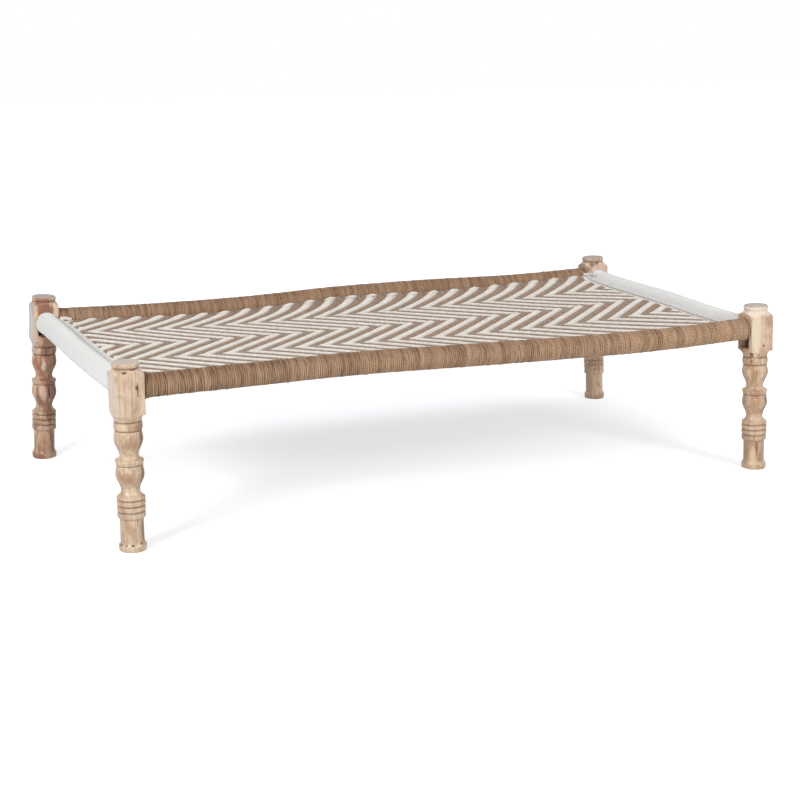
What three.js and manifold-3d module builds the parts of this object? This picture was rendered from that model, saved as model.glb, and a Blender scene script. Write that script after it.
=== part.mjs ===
// A charpai: a low rope-strung bed with four turned wooden legs, four poles tenoned into them,
// a jute winding on each side pole, a cotton winding on each end pole, and a woven surface between.
// Millimetres. +X runs along the bed, +Y to its back, +Z up. The origin is on the floor,
// under the middle of the whole bed.
import * as THREE from 'three';
import { mergeVertices } from 'three/addons/utils/BufferGeometryUtils.js';
import Module from 'manifold-3d';

const wasm = await Module();
wasm.setup();

// Frame: distances between the leg axes at the height of the joints, the height of the legs,
// and how far the poles' middle lines meet them below their tops.
const bedLength = 1750;
const bedWidth = 886;
const legHeight = 457;
const sideJointDepth = 62;
const endJointDepth = 67;
const sideJointHeight = legHeight - sideJointDepth;
const endJointHeight = legHeight - endJointDepth;

// Fits. Pieces that touch keep the contact gap. A tenon has the tenon clearance in its mortise.
const contactGap = 0.3;
const tenonClearance = 0.4;
const overrun = 20;

// Leg block, square, with lathe-cut shoulders and a round cap above it. Depths are below the top.
const blockSide = 72;
const capDepth = 14;
const shoulderDepth = 18;
const blockTopDepth = 37;
const blockBottomDepth = 119;
const coveDepth = 141;
const collarRadius = 33;
const capRadius = 33;
const capGrooveRadius = 31;
const capEdge = 3;
const blockTop = legHeight - blockTopDepth;
const blockBottom = legHeight - blockBottomDepth;

// Leg turnings between the floor and the cove under the block: radii, and shares of that height.
const turnedHeight = legHeight - coveDepth;
const upperRingBottomShare = 0.934;
const upperRingRadius = 34.5;
const upperGrooveRadius = 31;
const upperVaseShare = 0.8655;
const upperVaseRadius = 34.8;
const upperNeckShare = 0.737;
const upperNeckRadius = 22.8;
const lowerRingTopShare = 0.699;
const lowerRingBottomShare = 0.668;
const lowerRingRadius = 34;
const lowerGrooveRadius = 31;
const lowerVaseShare = 0.593;
const lowerVaseRadius = 34.4;
const lowerNeckShare = 0.473;
const lowerNeckRadius = 22.4;
const beadsTopShare = 0.421;
const beadsBottomShare = 0.256;
const beadRadius = 33.5;
const beadGrooveRadius = 30.5;
const beadCount = 4;
const shaftRadius = 28.3;
const shaftBottomShare = 0.085;
const footShare = 0.038;
const footRadius = 33.5;
const soleRadius = 30.5;

// Steps of the round stretches.
const legSegments = 16;
const waveSteps = 3;
const beadSteps = 3;
const shoulderSteps = 3;

// How far each foot stands from the point below its own joint, as the legs lean a little.
const legLean = {
  leg_front_left: { x: 0, y: -4 },
  leg_front_right: { x: 13, y: -5 },
  leg_back_left: { x: -17, y: 4 },
  leg_back_right: { x: 13, y: -8 },
};

// Poles, with square tenons.
const sidePoleRadius = 25;
const endPoleRadius = 24;
const tenonWidth = 29;
const tenonHeight = 36;
const tenonRoot = 10;
const sideTenonPastAxis = 14;
const sideMortiseDrop = 55;
const endMortiseDrop = 36;
const poleSides = 12;
const poleSteps = 9;

// Windings of cord, a turn thick.
const sideWindingRadius = 30.5;
const endWindingRadius = 29.5;
const windingSides = 16;

// Natural bow of each pole: the largest rise or dip, and its shares at even places along the pole.
const frontBow = 9;
const frontBowShares = [0, 0.3, 0.55, -0.15, -0.8, -1, 0];
const backBow = 8.4;
const backBowShares = [0, -0.9, -1, 0.05, 0.08, -0.55, 0];
const leftBow = 7;
const leftBowShares = [0, -0.65, -1, -0.35, 0];
const rightBow = 3;
const rightBowShares = [0, -1, 0.3, -0.5, 0];

// Woven surface: two layers of cord, stretched between the windings, with a slight sag. The shares
// give the sag at even places along the bed. It turns up steeply beside the side poles, to an
// edge a little below the front pole's axis and one that climbs along the rear pole.
const cordDiameter = 5.4;
const bedSag = 20;
const bedSagShares = [0, 0.54, 0.77, 0.94, 1, 0.72, 0.37, 0];
const bedEdgePower = 18;
const bedEdgeDrop = 3;
const bedRearEdge = 12;
const bedRearEdgeShares = [0, -0.17, -0.42, -0.58, -0.42, -0.08, 0.25, 0, -0.33, 0, 0.58, 0.83, 1];
const bedGridX = 14;
const bedGridY = 8;
const bedGridPower = 2.5;
const marginWidth = 28;
const marginGridX = 1;

// Tie: the tail of the cotton cord, looped over at the back left corner.
const tieDiameter = 8;
const tieSpan = 32;
const tieRise = 6;
const tieInset = 2;
const tieRouteShares = [[0, 0], [0.12, 0.6], [0.42, 1], [0.75, 0.75], [1, 0]];
const tieSides = 8;
const tieSteps = 12;

const colours = {
  leg_front_left: 0xd8be98,
  leg_front_right: 0xe6d3b0,
  leg_back_left: 0xa9765a,
  leg_back_right: 0xb39a80,
  pole: 0xbfa27c,
  jute: 0xa0856e,
  cotton: 0xe8e5e0,
  weave: 0xcfc2b4,
};

// Solids

function toSolid(geometry) {
  const bare = geometry.clone();
  bare.deleteAttribute('normal');
  bare.deleteAttribute('uv');
  const merged = mergeVertices(bare);
  return new wasm.Manifold(new wasm.Mesh({
    numProp: 3,
    vertProperties: new Float32Array(merged.attributes.position.array),
    triVerts: new Uint32Array(merged.index.array),
  }));
}

function toGeometry(solid) {
  const mesh = solid.getMesh();
  const geometry = new THREE.BufferGeometry();
  geometry.setAttribute('position', new THREE.BufferAttribute(mesh.vertProperties, mesh.numProp));
  geometry.setIndex(new THREE.BufferAttribute(mesh.triVerts, 1));
  geometry.computeVertexNormals();
  return geometry;
}

function cutAll(solid, cutters) {
  return cutters.reduce((left, cutter) => left.subtract(cutter), solid);
}

// A box between two corners.
function boxBetween(low, high) {
  const size = high.clone().sub(low);
  const middle = low.clone().add(high).multiplyScalar(0.5);
  const geometry = new THREE.BoxGeometry(size.x, size.y, size.z);
  geometry.translate(middle.x, middle.y, middle.z);
  return toSolid(geometry);
}

function circleShape(radius, sides, holeRadius = 0) {
  const ring = (r, turn) => Array.from({ length: sides }, (unused, i) => {
    const angle = turn * 2 * Math.PI * i / sides;
    return new THREE.Vector2(r * Math.cos(angle), r * Math.sin(angle));
  });
  const shape = new THREE.Shape(ring(radius, 1));
  if (holeRadius > 0) shape.holes.push(new THREE.Path(ring(holeRadius, -1)));
  return shape;
}

// A round bar, or a tube when it has a hole, along a curve.
function barAlong(curve, radius, sides, steps, holeRadius = 0) {
  const shape = circleShape(radius, sides, holeRadius);
  return toSolid(new THREE.ExtrudeGeometry(shape, { extrudePath: curve, steps, curveSegments: sides }));
}

// Leg

// Points from one station to the next, eased at both ends like a turned hollow or swell.
function wave(from, to, steps) {
  return Array.from({ length: steps }, (unused, i) => {
    const share = (i + 1) / steps;
    const eased = (1 - Math.cos(Math.PI * share)) / 2;
    return new THREE.Vector2(
      THREE.MathUtils.lerp(from.x, to.x, eased),
      THREE.MathUtils.lerp(from.y, to.y, share),
    );
  });
}

// Points of a bead, a half-round swelling, from its lower groove to its upper one.
function bead(bottom, top, grooveRadius, radius, steps) {
  return Array.from({ length: steps }, (unused, i) => {
    const share = (i + 1) / steps;
    const swell = Math.sin(Math.PI * share);
    return new THREE.Vector2(
      grooveRadius + (radius - grooveRadius) * swell,
      THREE.MathUtils.lerp(bottom, top, share),
    );
  });
}

// The turned outline, from the axis below the floor to the axis at the top.
// In the block's stretch it stands outside the square's corners, which the blank then gives.
function legOutline() {
  const blankRadius = blockSide * Math.SQRT1_2 + contactGap;
  const points = [new THREE.Vector2(0, -overrun), new THREE.Vector2(soleRadius, -overrun)];
  const station = (radius, height) => new THREE.Vector2(radius, height);
  const last = () => points[points.length - 1];
  const lineTo = (radius, height) => points.push(station(radius, height));
  const waveTo = (radius, share) => {
    points.push(...wave(last(), station(radius, share * turnedHeight), waveSteps));
  };
  const beadBetween = (bottom, top, grooveRadius, radius) => {
    points.push(...bead(bottom, top, grooveRadius, radius, beadSteps));
  };

  lineTo(soleRadius, 0);
  waveTo(footRadius, footShare);
  waveTo(shaftRadius, shaftBottomShare);
  const beadsBottom = beadsBottomShare * turnedHeight;
  const beadPitch = (beadsTopShare * turnedHeight - beadsBottom) / beadCount;
  lineTo(shaftRadius, beadsBottom);
  lineTo(beadGrooveRadius, beadsBottom);
  for (let i = 0; i < beadCount; i += 1) {
    const bottom = beadsBottom + i * beadPitch;
    beadBetween(bottom, bottom + beadPitch, beadGrooveRadius, beadRadius);
  }
  waveTo(lowerNeckRadius, lowerNeckShare);
  waveTo(lowerVaseRadius, lowerVaseShare);
  waveTo(lowerGrooveRadius, lowerRingBottomShare);
  beadBetween(last().y, lowerRingTopShare * turnedHeight, lowerGrooveRadius, lowerRingRadius);
  waveTo(upperNeckRadius, upperNeckShare);
  waveTo(upperVaseRadius, upperVaseShare);
  waveTo(upperGrooveRadius, upperRingBottomShare);
  beadBetween(last().y, turnedHeight, upperGrooveRadius, upperRingRadius);

  const coveBottom = turnedHeight + contactGap;
  for (let i = 0; i <= shoulderSteps; i += 1) {
    const angle = Math.PI / 2 * i / shoulderSteps;
    lineTo(
      collarRadius + (blankRadius - collarRadius) * (1 - Math.cos(angle)),
      coveBottom + (blockBottom - coveBottom) * Math.sin(angle),
    );
  }
  for (let i = 0; i <= shoulderSteps; i += 1) {
    const angle = Math.PI / 2 * i / shoulderSteps;
    lineTo(
      capGrooveRadius + (blankRadius - capGrooveRadius) * Math.cos(angle),
      blockTop + (blockTopDepth - shoulderDepth) * Math.sin(angle),
    );
  }
  lineTo(capGrooveRadius, legHeight - capDepth);
  lineTo(capRadius, legHeight - capDepth + capEdge / 2);
  lineTo(capRadius, legHeight - capEdge);
  lineTo(capRadius - capEdge, legHeight);
  lineTo(0, legHeight);
  return points;
}

// A square bar along the leg's axis, wide by the given side.
function legBlank(side, bottom, top) {
  return boxBetween(
    new THREE.Vector3(-side / 2, -side / 2, bottom),
    new THREE.Vector3(side / 2, side / 2, top),
  );
}

// Puts a solid made round the leg's own axis at its corner, leaning about the joint.
function standLeg(solid, leg) {
  const drop = sideJointHeight;
  const lean = new THREE.Quaternion().setFromUnitVectors(
    new THREE.Vector3(0, 0, -1),
    new THREE.Vector3(leg.lean.x, leg.lean.y, -drop).normalize(),
  );
  const place = new THREE.Matrix4()
    .makeTranslation(leg.x, leg.y, drop)
    .multiply(new THREE.Matrix4().makeRotationFromQuaternion(lean))
    .multiply(new THREE.Matrix4().makeTranslation(0, 0, -drop));
  return solid.transform(place.toArray());
}

const legs = Object.entries(legLean).map(([name, lean]) => ({
  name,
  lean,
  x: (name.endsWith('left') ? -1 : 1) * bedLength / 2,
  y: (name.includes('front') ? -1 : 1) * bedWidth / 2,
}));

function lathe(points, segments) {
  const geometry = new THREE.LatheGeometry(points, segments);
  geometry.rotateX(Math.PI / 2);
  return toSolid(geometry);
}

// The mortise of a side pole runs past the leg's axis. That of an end pole stops at it.
function sideMortise(leg) {
  const inward = -Math.sign(leg.x);
  const mouth = leg.x + inward * (blockSide / 2 + overrun);
  const end = leg.x - inward * (sideTenonPastAxis + tenonClearance);
  const half = tenonWidth / 2 + tenonClearance;
  return boxBetween(
    new THREE.Vector3(Math.min(mouth, end), leg.y - half, sideJointHeight - sideMortiseDrop),
    new THREE.Vector3(Math.max(mouth, end), leg.y + half,
      sideJointHeight + tenonHeight / 2 + tenonClearance),
  );
}

function endMortise(leg) {
  const inward = -Math.sign(leg.y);
  const mouth = leg.y + inward * (blockSide / 2 + overrun);
  const half = tenonWidth / 2 + tenonClearance;
  return boxBetween(
    new THREE.Vector3(leg.x - half, Math.min(mouth, leg.y), endJointHeight - endMortiseDrop),
    new THREE.Vector3(leg.x + half, Math.max(mouth, leg.y),
      endJointHeight + tenonHeight / 2 + tenonClearance),
  );
}

function makeLeg(leg) {
  const turned = lathe(legOutline(), legSegments);
  const blank = legBlank(blockSide, -overrun, legHeight + overrun);
  const standing = standLeg(turned.intersect(blank), leg);
  const reach = blockSide;
  const floor = boxBetween(
    new THREE.Vector3(leg.x - reach, leg.y - reach, -2 * overrun),
    new THREE.Vector3(leg.x + reach, leg.y + reach, 0),
  );
  return cutAll(standing, [floor, sideMortise(leg), endMortise(leg)]);
}

// The space that a leg's block takes from its neighbours, a contact gap larger all round.
const blockSpaces = legs.map((leg) => standLeg(
  legBlank(blockSide + 2 * contactGap, blockBottom - overrun, legHeight), leg));

// Poles and windings

// Rise and dip along a pole or the bed, eased through even places.
function bowCurve(shares, bow) {
  const points = shares.map((share, i) => new THREE.Vector3(i / (shares.length - 1), 0, share * bow));
  return new THREE.CatmullRomCurve3(points);
}

// Rise of a bow at a share of the way along it, level past both ends.
function riseAt(bow, share) {
  return bow.getPoint(THREE.MathUtils.clamp(share, 0, 1)).z;
}

const bows = {
  front: bowCurve(frontBowShares, frontBow),
  back: bowCurve(backBowShares, backBow),
  left: bowCurve(leftBowShares, leftBow),
  right: bowCurve(rightBowShares, rightBow),
};

// The middle line of a pole, from leg axis to leg axis and on past both, where it runs level.
class PolePath extends THREE.Curve {
  constructor(start, end, bow) {
    super();
    const along = end.clone().sub(start);
    this.pastShare = overrun / along.length();
    this.start = start.clone().addScaledVector(along, -this.pastShare);
    this.end = end.clone().addScaledVector(along, this.pastShare);
    this.bow = bow;
  }

  getPoint(t, target = new THREE.Vector3()) {
    const share = t * (1 + 2 * this.pastShare) - this.pastShare;
    target.lerpVectors(this.start, this.end, t);
    target.z += riseAt(this.bow, share);
    return target;
  }
}

function sidePath(y, bow) {
  return new PolePath(
    new THREE.Vector3(-bedLength / 2, y, sideJointHeight),
    new THREE.Vector3(bedLength / 2, y, sideJointHeight),
    bow,
  );
}

function endPath(x, bow) {
  return new PolePath(
    new THREE.Vector3(x, -bedWidth / 2, endJointHeight),
    new THREE.Vector3(x, bedWidth / 2, endJointHeight),
    bow,
  );
}

const rails = [
  { name: 'front', side: true, path: sidePath(-bedWidth / 2, bows.front) },
  { name: 'back', side: true, path: sidePath(bedWidth / 2, bows.back) },
  { name: 'left', side: false, path: endPath(-bedLength / 2, bows.left) },
  { name: 'right', side: false, path: endPath(bedLength / 2, bows.right) },
].map((rail) => ({
  ...rail,
  poleRadius: rail.side ? sidePoleRadius : endPoleRadius,
  windingRadius: rail.side ? sideWindingRadius : endWindingRadius,
}));

// The block of wood that a pole's tenon is cut to, from its tip in the leg to its root in the pole.
function tenonBlock(rail, leg) {
  const half = tenonWidth / 2;
  if (rail.side) {
    const inward = -Math.sign(leg.x);
    const root = leg.x + inward * (blockSide / 2 + tenonRoot);
    const tip = leg.x - inward * sideTenonPastAxis;
    return boxBetween(
      new THREE.Vector3(Math.min(root, tip), leg.y - half, sideJointHeight - tenonHeight / 2),
      new THREE.Vector3(Math.max(root, tip), leg.y + half, sideJointHeight + tenonHeight / 2),
    );
  }
  const inward = -Math.sign(leg.y);
  const root = leg.y + inward * (blockSide / 2 + tenonRoot);
  const tip = leg.y + inward * (half + tenonClearance);
  return boxBetween(
    new THREE.Vector3(leg.x - half, Math.min(root, tip), endJointHeight - tenonHeight / 2),
    new THREE.Vector3(leg.x + half, Math.max(root, tip), endJointHeight + tenonHeight / 2),
  );
}

function legsOf(rail) {
  return legs.filter((leg) => leg.name.includes(rail.name));
}

function makePole(rail) {
  const bar = barAlong(rail.path, rail.poleRadius, poleSides, poleSteps);
  const shouldered = cutAll(bar, blockSpaces);
  return legsOf(rail).reduce((pole, leg) => pole.add(bar.intersect(tenonBlock(rail, leg))), shouldered);
}

// The flats of the bore stay clear of the pole's corners inside.
function makeWinding(rail) {
  const bore = (rail.poleRadius + contactGap) / Math.cos(Math.PI / windingSides);
  const tube = barAlong(rail.path, rail.windingRadius, windingSides, poleSteps, bore);
  return cutAll(tube, blockSpaces);
}

// Woven surface

const bedSagCurve = bowCurve(bedSagShares, bedSag);
const bedRearEdgeCurve = bowCurve(bedRearEdgeShares, bedRearEdge);
const bedHalfWidth = bedWidth / 2 - sideWindingRadius;

// Height of the middle of the weave above the point x, y. It follows the four poles at its edges,
// blended across, with the edges' own heights beside the side poles, and sags between them.
function bedHeight(x, y) {
  const u = (x + bedLength / 2) / bedLength;
  const v = (y + bedWidth / 2) / bedWidth;
  const front = sideJointHeight + riseAt(bows.front, u);
  const back = sideJointHeight + riseAt(bows.back, u);
  const left = endJointHeight + riseAt(bows.left, v);
  const right = endJointHeight + riseAt(bows.right, v);
  const sides = THREE.MathUtils.lerp(front, back, v);
  const ends = THREE.MathUtils.lerp(left, right, u);
  const nearEnd = Math.abs(2 * u - 1) ** 6;
  const across = 1 - Math.min(1, Math.abs(y) / bedHalfWidth) ** bedEdgePower;
  const edge = y < 0 ? -bedEdgeDrop : riseAt(bedRearEdgeCurve, u);
  return THREE.MathUtils.lerp(sides, ends, nearEnd) + THREE.MathUtils.lerp(edge, -riseAt(bedSagCurve, u), across);
}

// Moves a place across the bed towards the nearer side pole, where the weave turns up.
function bunched(y) {
  const share = Math.max(0, 1 - Math.abs(2 * y) / bedWidth);
  return Math.sign(y) * (1 - share ** bedGridPower) * bedWidth / 2;
}

// A slab between two places along X that follows the height of the weave.
function bedSlab(fromX, toX, gridX, thickness) {
  const geometry = new THREE.BoxGeometry(toX - fromX, bedWidth, thickness, gridX, bedGridY, 1);
  geometry.translate((fromX + toX) / 2, 0, 0);
  const position = geometry.attributes.position;
  for (let i = 0; i < position.count; i += 1) {
    const y = bunched(position.getY(i));
    position.setXYZ(i, position.getX(i), y, position.getZ(i) + bedHeight(position.getX(i), y));
  }
  return toSolid(geometry);
}

const windingSpaces = rails.map((rail) => barAlong(
  rail.path, (rail.windingRadius + contactGap) / Math.cos(Math.PI / windingSides), windingSides, poleSteps));

function fitBed(slab) {
  return cutAll(slab, [...windingSpaces, ...blockSpaces]);
}

const bedHalfLength = bedLength / 2 - endWindingRadius - marginWidth;

function makeWeave() {
  return fitBed(bedSlab(-bedHalfLength, bedHalfLength, bedGridX, 2 * cordDiameter));
}

function makeMargin(side) {
  const inner = side * (bedHalfLength + contactGap);
  const outer = side * bedLength / 2;
  return fitBed(bedSlab(Math.min(inner, outer), Math.max(inner, outer), marginGridX, cordDiameter));
}

// Tie

// An arch of cord beside the back left leg, clear above the weave and in front of the winding.
function makeTie() {
  const startX = -bedLength / 2 + blockSide / 2 + contactGap + tieDiameter / 2;
  const y = bedWidth / 2 - sideWindingRadius - tieInset - tieDiameter / 2;
  const highest = Math.max(bedHeight(startX, y), bedHeight(startX + tieSpan, y));
  const base = highest + cordDiameter + contactGap + tieDiameter / 2;
  const route = new THREE.CatmullRomCurve3(tieRouteShares.map(([spanShare, riseShare]) => (
    new THREE.Vector3(startX + spanShare * tieSpan, y, base + riseShare * tieRise))));
  return barAlong(route, tieDiameter / 2, tieSides, tieSteps);
}

// Assembly

const frame = new THREE.Group();

function addPiece(name, solid, colour, roughness) {
  const material = new THREE.MeshStandardMaterial({ color: colour, roughness, metalness: 0 });
  const mesh = new THREE.Mesh(toGeometry(solid), material);
  mesh.name = name;
  frame.add(mesh);
}

const woodRoughness = 0.75;
const cordRoughness = 0.95;

for (const leg of legs) addPiece(leg.name, makeLeg(leg), colours[leg.name], woodRoughness);
for (const rail of rails) {
  const poleName = rail.side ? `side_rail_${rail.name}` : `end_rail_${rail.name}`;
  const windingName = rail.side ? `jute_winding_${rail.name}` : `cotton_winding_${rail.name}`;
  addPiece(poleName, makePole(rail), colours.pole, woodRoughness);
  addPiece(windingName, makeWinding(rail), rail.side ? colours.jute : colours.cotton, cordRoughness);
}
addPiece('woven_bed', makeWeave(), colours.weave, cordRoughness);
addPiece('cotton_margin_left', makeMargin(-1), colours.cotton, cordRoughness);
addPiece('cotton_margin_right', makeMargin(1), colours.cotton, cordRoughness);
addPiece('corner_tie', makeTie(), colours.cotton, cordRoughness);

// The leaning legs shift the middle of the whole bed a little, so the frame is moved back over it.
const middle = new THREE.Box3().setFromObject(frame).getCenter(new THREE.Vector3());
frame.position.set(-middle.x, -middle.y, 0);

const charpai = new THREE.Group();
charpai.add(frame);

export default charpai;
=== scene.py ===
"""A charpai: turned wooden legs, poles wound with cord, and a zigzag-woven bed of cords."""

import math

import bpy
import numpy as np
from bpy.props import FloatProperty, FloatVectorProperty, IntProperty, PointerProperty
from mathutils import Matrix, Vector


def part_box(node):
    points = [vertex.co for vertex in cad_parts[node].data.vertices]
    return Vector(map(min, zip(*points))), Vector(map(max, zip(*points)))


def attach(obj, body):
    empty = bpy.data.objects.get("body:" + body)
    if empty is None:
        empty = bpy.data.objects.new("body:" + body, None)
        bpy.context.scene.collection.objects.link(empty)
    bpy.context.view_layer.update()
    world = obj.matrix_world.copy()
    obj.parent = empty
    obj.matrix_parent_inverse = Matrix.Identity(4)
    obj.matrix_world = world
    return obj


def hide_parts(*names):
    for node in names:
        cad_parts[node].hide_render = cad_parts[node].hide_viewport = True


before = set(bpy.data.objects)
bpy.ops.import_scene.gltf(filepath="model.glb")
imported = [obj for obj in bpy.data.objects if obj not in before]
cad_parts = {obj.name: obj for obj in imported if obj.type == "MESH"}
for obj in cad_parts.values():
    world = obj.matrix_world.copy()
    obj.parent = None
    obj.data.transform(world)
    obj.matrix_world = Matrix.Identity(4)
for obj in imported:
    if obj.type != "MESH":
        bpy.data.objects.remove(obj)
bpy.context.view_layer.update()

bl_info = {
    "name": "Charpai",
    "version": (1, 0, 0),
    "blender": (4, 5, 0),
    "location": "View3D > Sidebar > Charpai",
    "description": "Builds the legs, windings and woven bed of a charpai round its packed frame",
    "category": "Object",
}

MM = 0.001
LEGS = ("leg_front_left", "leg_front_right", "leg_back_left", "leg_back_right")


def frame_middle():
    """The point of the frame midway between the four leg axes, read from the four poles."""
    left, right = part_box("end_rail_left"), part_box("end_rail_right")
    front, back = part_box("side_rail_front"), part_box("side_rail_back")
    return np.array([
        (left[0].x + right[1].x) / 2,
        (front[0].y + back[1].y) / 2,
        0.0,
    ])


MIDDLE = frame_middle()


# Sizes and colours


def colour_property(name, description, red, green, blue):
    """A colour given by its red, green and blue on screen, from 0 to 255."""
    return FloatVectorProperty(
        name=name, description=description, subtype="COLOR", size=3, min=0.0, max=1.0,
        default=(linear(red), linear(green), linear(blue)),
    )


def linear(value):
    """The linear share of one screen value from 0 to 255."""
    share = value / 255
    return share / 12.92 if share <= 0.04045 else ((share + 0.055) / 1.055) ** 2.4


def length_property(name, description, millimetres):
    return FloatProperty(
        name=name, description=description, unit="LENGTH", default=millimetres * MM, min=0.0,
    )


class CharpaiFrameSizes(bpy.types.PropertyGroup):
    """Sizes of the legs and poles."""

    bed_length: length_property("Bed length", "Between the leg axes along the bed", 1750)
    bed_width: length_property("Bed width", "Between the leg axes across the bed", 886)
    leg_height: length_property("Leg height", "From the floor to the top of a leg", 457)
    side_joint_height: length_property("Side joint height", "Floor to the side poles' axes", 395)
    end_joint_height: length_property("End joint height", "Floor to the end poles' axes", 390)
    block_side: length_property("Block side", "Width of the square part of a leg", 72)
    block_edge: length_property("Block edge", "Worn radius of the square part's edges", 2.5)
    mortise_width: length_property("Mortise width", "Width of the holes for the poles", 29.8)
    mortise_depth: length_property("Mortise depth", "How far the holes are seen to go in", 20)


class CharpaiCordSizes(bpy.types.PropertyGroup):
    """Sizes of the windings and the weave."""

    cord_diameter: length_property("Cord diameter", "Thickness of the jute and cotton cords", 5.4)
    side_winding_radius: length_property("Side winding radius", "Over the jute turns", 30.5)
    end_winding_radius: length_property("End winding radius", "Over the cotton turns", 29.5)
    margin_width: length_property("Margin width", "Bare cotton beside each end pole", 28)
    bed_sag: length_property("Bed sag", "How far the bed hangs where it is lowest", 20)
    edge_drop: length_property("Edge drop", "Weave's edge below the front pole's axis", 3)
    rear_edge: length_property("Rear edge", "Weave's edge above the rear pole's axis", 12)
    strand_rows: IntProperty(
        name="Cotton rows", description="Cotton strands across the bed, three cords each",
        default=52, min=1,
    )
    strand_columns: IntProperty(
        name="Jute columns", description="Jute strands along the bed, three cords each",
        default=98, min=1,
    )


class CharpaiColours(bpy.types.PropertyGroup):
    """Colours of the cords and woods."""

    jute: colour_property("Jute", "Jute cord in the light", 208, 173, 141)
    # Dark jute is also the colour of painted shade in the twist's hollows, at the windings' ends
    # and tops, where the woven cords dive and on their ends.
    jute_dark: colour_property("Dark jute", "Jute cord between its fibres", 116, 84, 58)
    jute_woven: colour_property("Woven jute", "Jute cord of the weave", 186, 164, 144)
    cotton: colour_property("Cotton", "Undyed cotton cord of the weave", 253, 248, 241)
    cotton_ends: colour_property("End cotton", "Cotton wound round the ends", 233, 233, 231)
    # Cotton shade is also the colour of painted shade in the twist's hollows, at the windings' ends
    # and tops and where the woven cords dive.
    cotton_shade: colour_property("Cotton shade", "Cotton cord in its hollows", 182, 171, 160)


# Meshes


def build_mesh(name, points, groups, material, uv=None, shades=None):
    """A mesh object from points and arrays of faces, each array with one number of corners.
    uv holds a pair for each face corner in order, and shades named values for each point."""
    mesh = bpy.data.meshes.new(name)
    corners = np.concatenate([group.ravel() for group in groups]).astype(np.int32)
    totals = np.concatenate([np.full(len(group), group.shape[1]) for group in groups])
    starts = np.concatenate([[0], np.cumsum(totals)[:-1]]).astype(np.int32)
    mesh.vertices.add(len(points))
    mesh.vertices.foreach_set("co", (points + MIDDLE).astype(np.float32).ravel())
    mesh.loops.add(len(corners))
    mesh.loops.foreach_set("vertex_index", corners)
    mesh.polygons.add(len(totals))
    mesh.polygons.foreach_set("loop_start", starts)
    mesh.polygons.foreach_set("use_smooth", np.ones(len(totals), bool))
    if uv is not None:
        layer = mesh.uv_layers.new(name="along")
        layer.data.foreach_set("uv", uv.astype(np.float32).ravel())
    for key, values in (shades or {}).items():
        attribute = mesh.attributes.new(key, "FLOAT", "POINT")
        attribute.data.foreach_set("value", np.asarray(values, np.float32).ravel())
    mesh.materials.append(material)
    mesh.update(calc_edges=True)
    mesh.validate()
    obj = bpy.data.objects.new(name, mesh)
    bpy.context.scene.collection.objects.link(obj)
    return obj


def unit(vectors):
    return vectors / np.linalg.norm(vectors, axis=-1, keepdims=True)


def cords_mesh(name, paths, sides_of, radii, ring_count, material, shades):
    """Round cords along many paths at once: about each point of a path stands a ring of
    radius times the cosine and sine of its angle, along the given side vector and the vector
    square to it and to the path. The ends are closed by flat faces.
    paths is cords x points x 3, radii and shades are cords x points."""
    cords, steps, _ = paths.shape
    along = unit(np.gradient(paths, axis=1))
    side = unit(sides_of - along * (sides_of * along).sum(-1, keepdims=True))
    up = np.cross(along, side)
    angle = 2 * np.pi * np.arange(ring_count) / ring_count
    cos, sin = np.cos(angle)[:, None], np.sin(angle)[:, None]
    ring = cos * side[:, :, None, :] + sin * up[:, :, None, :]
    points = paths[:, :, None, :] + radii[:, :, None, None] * ring
    index = np.arange(cords * steps * ring_count).reshape(cords, steps, ring_count)
    here, after = index, np.roll(index, -1, axis=2)
    quads = np.stack([here[:, :-1], after[:, :-1], after[:, 1:], here[:, 1:]], -1).reshape(-1, 4)
    caps = np.concatenate([index[:, 0, ::-1], index[:, -1]])
    run = np.linalg.norm(np.diff(paths, axis=1), axis=2)
    run = np.concatenate([np.zeros((cords, 1)), np.cumsum(run, axis=1)], axis=1)
    round_it = np.arange(ring_count + 1) / ring_count
    first = np.broadcast_to(run[:, :-1, None], (cords, steps - 1, ring_count))
    last = np.broadcast_to(run[:, 1:, None], (cords, steps - 1, ring_count))
    low = np.broadcast_to(round_it[:-1], first.shape)
    high = np.broadcast_to(round_it[1:], first.shape)
    quad_uv = np.stack([
        np.stack([low, first], -1), np.stack([high, first], -1),
        np.stack([high, last], -1), np.stack([low, last], -1),
    ], -2).reshape(-1, 2)
    uv = np.concatenate([quad_uv, np.zeros((caps.size, 2))])
    values = {key: np.repeat(value.ravel(), ring_count) for key, value in shades.items()}
    return build_mesh(name, points.reshape(-1, 3), [quads, caps], material, uv, values)


X_AXIS, Y_AXIS, Z_AXIS = np.eye(3)


def even_cords(name, paths, side, radius, ring_count, material, shade):
    """Round cords along many paths at once, all of one radius and one shade."""
    every = np.ones(paths.shape[:2])
    return cords_mesh(
        name, paths, side * np.ones_like(paths), radius * every, ring_count, material,
        {"shade": shade * every},
    )


# Lines of the poles


def through_places(values, share):
    """A smooth line through values at even places from 0 to 1: cubic pieces whose slope at
    each value is half the step between its neighbours."""
    values = np.asarray(values, float)
    padded = np.concatenate([
        [2 * values[0] - values[1]], values, [2 * values[-1] - values[-2]],
    ])
    place = np.clip(share, 0, 1) * (len(values) - 1)
    first = np.minimum(place.astype(int), len(values) - 2)
    w = place - first
    a, b, c, d = (padded[first + k] for k in range(4))
    return b + 0.5 * w * (c - a + w * (2 * a - 5 * b + 4 * c - d + w * (3 * (b - c) + d - a)))


# How far each pole's axis rises and falls at even places between its joints.
FRONT_BOW = np.array([0, 0.3, 0.55, -0.15, -0.8, -1, 0]) * 9 * MM
BACK_BOW = np.array([0, -0.9, -1, 0.05, 0.08, -0.55, 0]) * 8.4 * MM
LEFT_BOW = np.array([0, -0.65, -1, -0.35, 0]) * 7 * MM
RIGHT_BOW = np.array([0, -1, 0.3, -0.5, 0]) * 3 * MM


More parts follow.
